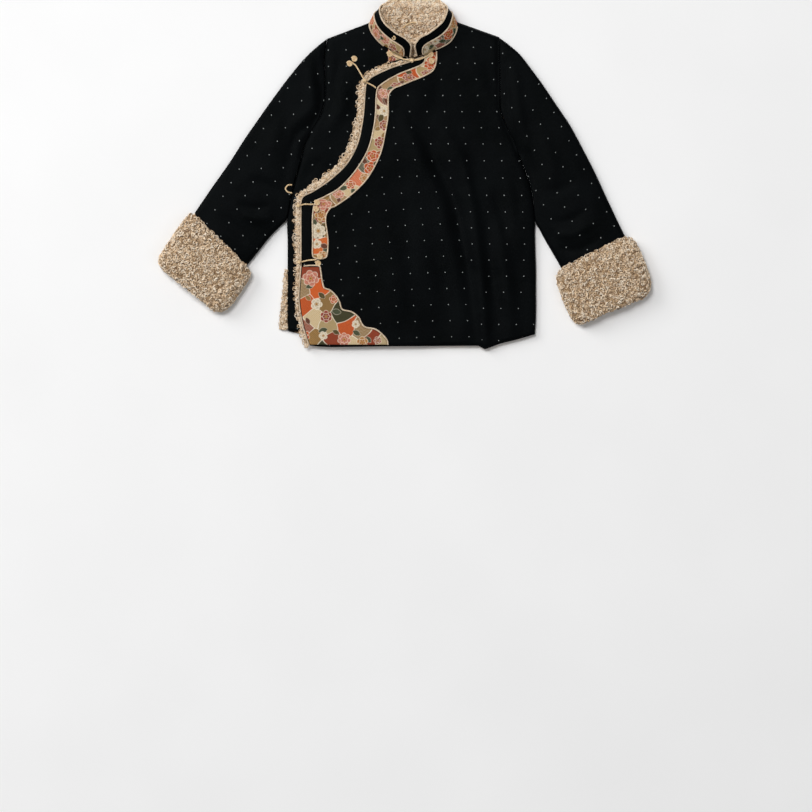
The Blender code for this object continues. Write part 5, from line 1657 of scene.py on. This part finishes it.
def build_collar():
    frames = collar_frames(2.2)
    top, bottom = collar_shell(frames, 0.0, 1.0, 18, 0.0, COLLAR_CLOTH)
    points, faces, kinds = two_sided(top, bottom)
    u, v = shell_uv(top)
    uv = np.column_stack([u.ravel(), v.ravel()])
    stand = mesh_piece("collar_stand_cloth", points, faces, [PLAIN_COTTON], np.vstack([uv, uv]))
    place_piece(stand, "black_cotton", "collar_stand")

    low = -COLLAR_SEAT - COLLAR_LINING
    top, bottom = collar_shell(frames, 0.0, 0.97, 16, low, -COLLAR_SEAT)
    points, faces, kinds = two_sided(top, bottom)
    u, v = shell_uv(bottom)
    uv = np.column_stack([u.ravel(), v.ravel()])
    lining = mesh_piece("collar_fleece", points, faces, [GROUND], np.vstack([uv, uv]))
    place_piece(lining, "fleece", "collar_lining")
    rows, columns = bottom.shape[:2]
    inward = grid_quads(rows, columns)
    points = bottom.reshape(-1, 3)
    corners = points[inward]
    centre = corners.reshape(-1, 3).mean(axis=0)
    if ((centre - corners.mean(axis=1)) * face_normals(points, inward)).sum() < 0:
        inward = inward[:, ::-1]
    curls = curls_on("collar_fleece_curls", points, inward, 1450, 31, **COLLAR_WOOL)

    start = COLLAR_CLOTH + COLLAR_SEAT
    whole = lengths_along(frames[0])[-1]
    places = np.linspace(BROCADE_START, whole - BROCADE_START, 230)
    inner = np.minimum(places, whole - places) - BROCADE_START
    high = lerp(BROCADE_SPAN[0] + 0.06, BROCADE_SPAN[1], quarter_round(inner, 15.0))
    layers = []
    for out, keep in ((start + 1.0, 1.0), (start - 0.4, -0.3)):
        grid = []
        for at, top_span in zip(places, high):
            spans = np.linspace(BROCADE_SPAN[0], top_span, 20)
            soft = [0.5, 0.15] + [0] * 16 + [0.15, 0.5]
            grid.append([collar_place(frames, at, span, out - keep * s) for span, s in zip(spans, soft)])
        layers.append(np.array(grid))
    top, bottom = layers
    points, faces, kinds = two_sided(top, bottom)
    u, v = shell_uv(top)
    figure = brocade_figure(u.ravel(), v.ravel(), u.max(), v.max(), 24, 24)
    uv = np.column_stack([u.ravel(), v.ravel()])
    brocade = mesh_piece(
        "collar_brocade_cloth", points, faces, [BROCADE], np.vstack([uv, uv]), np.vstack([figure, figure])
    )
    place_piece(brocade, "brocade", "collar_brocade")

    seam, top_edge, normal = frames
    rise = (top_edge - seam) / np.linalg.norm(top_edge - seam, axis=1)[:, None]
    rim = top_edge + rise * 1.9 + normal * COLLAR_CLOTH / 2
    ends = []
    for at, towards in ((0, 1), (-1, -2)):
        back = top_edge[at] - top_edge[towards] + seam[at] - seam[towards]
        back /= np.linalg.norm(back)
        spans = (0.1, 0.3, 0.5, 0.7, 0.88)
        ends.append([lerp(seam[at], top_edge[at], t) + normal[at] * 2.2 + back * 1.7 for t in spans])
    rim = np.vstack([ends[0], rim[1:-1:2], ends[1][::-1]])
    piping("collar_rim_edging", "collar_rim_piping", rim)
    begin = [(12, 0.02), (12, 0.22), (14, 0.42), (19, 0.54), (27, 0.585)]
    steady = [(at, COLLAR_PIPING_SPAN) for at in np.linspace(36, whole - 36, 60)]
    route = begin + steady + [(whole - at, span) for at, span in begin[::-1]]
    band = np.array([collar_place(frames, at, span, COLLAR_CLOTH + 1.5) for at, span in route])
    piping("collar_band_edging", "collar_band_piping", band, 1.4)
    for side, height in (("left", under_top), ("right", over_top)):
        first, last = NECK_PIPING_ROWS[side]
        line = np.array([row[:2] for row in COLLAR[first:last]], float)
        line = line + outward_normals(line) * NECK_PIPING_OUT
        z = height(line[:, 0], line[:, 1]) + SEAT + PIPING_RADIUS
        piping("neck_edging_" + side, "neck_piping_" + side, np.column_stack([line, z]))
    roll_curls = build_collar_roll(frames)
    return stand, lining, brocade, curls, roll_curls


def build_collar_roll(frames):
    """At the back of the neck the fleece rolls over the collar's top edge."""
    whole = lengths_along(frames[0])[-1]
    grid = []
    for share in np.linspace(0.325, 0.685, 70):
        full = float(smooth(min(share - 0.325, 0.685 - share) / 0.06))
        at = share * whole
        inside_low = collar_place(frames, at, 0.86, -5.0)
        inside_high = collar_place(frames, at, lerp(0.95, 1.02, full), lerp(-4.4, -2.6, full))
        crest = collar_place(frames, at, lerp(1.0, 1.16, full), lerp(-2.8, 0.6, full))
        outside = collar_place(frames, at, lerp(1.02, 1.0, full), lerp(-2.0, 3.6, full))
        grid.append([inside_low, inside_high, crest, outside])
    grid = np.array(grid)
    return curls_on_grid("collar_roll_curls", grid, 520, 35, **COLLAR_WOOL)


def build_neck_lining():
    """The back's fleece seen through the neck, as rings from its middle to its rim."""
    seam = np.array([row[:2] for row in COLLAR], float)
    centre = seam.mean(axis=0)
    away = centre - seam

    def ring_inside(reach):
        ring = seam + away / np.linalg.norm(away, axis=1)[:, None] * reach
        return curve_at(np.vstack([ring, ring[:1]]), np.linspace(0, len(ring), 97))[:-1]

    rim = ring_inside(11.0)
    floor = BACK_TOP + SEAT
    shares = np.linspace(0.02, 1, 14)
    top, bottom = [], []
    for share in shares:
        ring = lerp(centre, rim, share)
        height = floor + 3.4 * quarter_round(np.full(len(rim), (1.001 - share) * 40), 8.0)
        lumps = 0.4 * unevenness(np.column_stack([ring, height]), 9.0, 9)
        top.append(np.column_stack([ring, height + lumps * (share < 0.95)]))
        bottom.append(np.column_stack([ring, np.full(len(rim), floor)]))
    top, bottom = np.array(top), np.array(bottom)
    rings = np.concatenate([top, bottom[::-1]])
    points, faces, uv = tube_faces(rings, np.zeros((*rings.shape[:2], 2)), closed=True)
    piece = mesh_piece("neck_fleece", points, faces, [GROUND], points[:, :2])
    place_piece(piece, "fleece", "neck_lining")
    spread = []
    for reach, height in ((7.5, 4.5), (4.0, 5.5), (0.5, 6.0)):
        ring = ring_inside(reach)
        spread.append(np.column_stack([ring, np.full(len(rim), floor + height)]))
    top = np.concatenate([top, spread])
    faces = grid_quads(len(top), top.shape[1], 0, True)
    if face_normals(top.reshape(-1, 3), faces)[:, 2].sum() < 0:
        faces = faces[:, ::-1]
    curls = curls_on("neck_fleece_curls", top.reshape(-1, 3), faces, 950, 41, **COLLAR_WOOL)
    return piece, curls


# Making everything.


over = build_over_front()
under = build_under_front()
back = build_back()
left_dots = affine_dots((-328.3, 427.7), (29.3, -26.95), (-16.9, -28.4))
right_dots = affine_dots((316.4, 375.9), (28.3, 24.85), (15.8, -29.75))
left_sleeve = build_sleeve(
    "sleeve_left_cloth", "sleeve_left_of_photo", LEFT_SLEEVE, LEFT_ARMHOLE, -1, LEFT_SLEEVE_CREASES, left_dots, 7
)
right_sleeve = build_sleeve(
    "sleeve_right_cloth", "sleeve_right_of_photo", RIGHT_SLEEVE, RIGHT_ARMHOLE, 1, RIGHT_SLEEVE_CREASES,
    right_dots, 8,
)
left_cuff, left_rings = build_cuff("cuff_left_fleece", "cuff_left_of_photo", LEFT_CUFF, LEFT_SLEEVE[-1], 13)
right_cuff, right_rings = build_cuff("cuff_right_fleece", "cuff_right_of_photo", RIGHT_CUFF, RIGHT_SLEEVE[-1], 14)


def cuff_curls(name, rings, seed):
    rows, count = rings.shape[:2]
    points = rings.reshape(-1, 3)
    faces = grid_quads(rows, count, 0, True)
    middle = points.mean(axis=0)
    above = points[faces].mean(axis=1)[:, 2] - middle[2]
    if (face_normals(points, faces)[:, 2] * above).sum() < 0:
        faces = faces[:, ::-1]
    return curls_on(name, points, faces, CUFF_LOCKS, seed, radius=3.3, yarn=1.05)


left_curls = cuff_curls("cuff_left_curls", left_rings, 51)
right_curls = cuff_curls("cuff_right_curls", right_rings, 52)
edge_line, black_band, brocade_band = build_placket()
strip, strip_curls = build_placket_fleece(edge_line)
reach = np.array([row[7] for row in OVER_FRONT[: LAST_BAND_ROW + 1]], float)
far_line = fine_line(edge_line[:-2] + (outward_normals(edge_line) * (reach[:, None] + 0.6))[:-2], 3.0)
far_line = np.column_stack([far_line, under_top(far_line[:, 0], far_line[:, 1]) + 1.6])
strip_loops = edge_loops("placket_fleece_loops", far_line, 4.5, 125, 71)


def cuff_loops(name, rings, count, seed):
    """Loops that lap over the sleeve's end, from the cuff's first ring."""
    lap = rings[0, 3:49] - rings[2, 3:49]
    lap /= np.linalg.norm(lap[:, :2], axis=1)[:, None]
    lap[:, 2] = 0.0
    line = rings[0, 3:49] + lap * 2.0
    line[:, 2] -= 2.5
    return edge_loops(name, line, 5.0, count, seed)


left_loops = cuff_loops("cuff_left_loops", left_rings, 90, 72)
right_loops = cuff_loops("cuff_right_loops", right_rings, 90, 73)
corner = build_corner()
under_strip = build_under_strip()
stand, lining, collar_band, collar_curls, roll_curls = build_collar()
neck, neck_curls = build_neck_lining()
slit, slit_curls = fleece_strip(
    "slit_fleece_strip", "slit_fleece", np.array([(-261.5, y) for y in (36, 80, 120, 160)]),
    np.array([(-279.0, 36), (-275.0, 80), (-271.5, 120), (-267.0, 160)]), 0.2, 5.2, 2.8, 300, 61,
)
build_cords()
build_coins()
build_knots()

# Floor, light and camera.

FLOOR_SIZE = 40.0
FLOOR_LEVEL = -0.0005


def build_floor():
    made, tree = new_material("pale_paper_backdrop")
    place = add(tree, "ShaderNodeTexCoord").outputs["Object"]
    grain = noise_of(tree, place, 3.0, 2.0)
    colour = ramp(tree, grain, [(0.3, "#f6f6f6"), (0.7, "#f9f9f9")])
    finish_material(tree, {"Base Color": colour, "Roughness": 0.95, "Specular IOR Level": 0.1})
    data = bpy.data.meshes.new("floor")
    half = FLOOR_SIZE / 2
    corners = [(x, y, FLOOR_LEVEL) for x, y in ((-half, -half), (half, -half), (half, half), (-half, half))]
    data.from_pydata(corners, [], [(0, 1, 2, 3)])
    data.materials.append(made)
    floor = add_object("floor", data)


def area_light(name, place, aim, size, power):
    data = bpy.data.lights.new(name, "AREA")
    data.size = size
    data.energy = power
    light = add_object(name, data)
    light.location = place
    light.rotation_euler = (Vector(aim) - Vector(place)).to_track_quat("-Z", "Y").to_euler()


def build_stage():
    build_floor()
    area_light("soft_overhead", (-2.2, 2.8, 8.0), (0, 0, 0), 3.0, 400)
    area_light("soft_side", (-7.0, 4.6, 5.4), (0, 0, 0), 5.0, 480)
    area_light("soft_fill", (5.0, -3.6, 8.4), (0, 0, 0), 6.0, 130)
    world = bpy.data.worlds.new("studio")
    world.use_nodes = True
    background = world.node_tree.nodes["Background"]
    background.inputs["Color"].default_value = (1.0, 1.0, 1.0, 1.0)
    background.inputs["Strength"].default_value = 0.18
    bpy.context.scene.world = world
    camera_data = bpy.data.cameras.new("camera")
    camera_data.lens = 150
    camera_data.sensor_width = 36
    camera_data.clip_end = 60
    camera = add_object("camera", camera_data)
    camera.location = (0.0029, -0.4871, 7.105)
    bpy.context.scene.camera = camera


build_stage()
bpy.context.scene.view_settings.view_transform = "Standard"
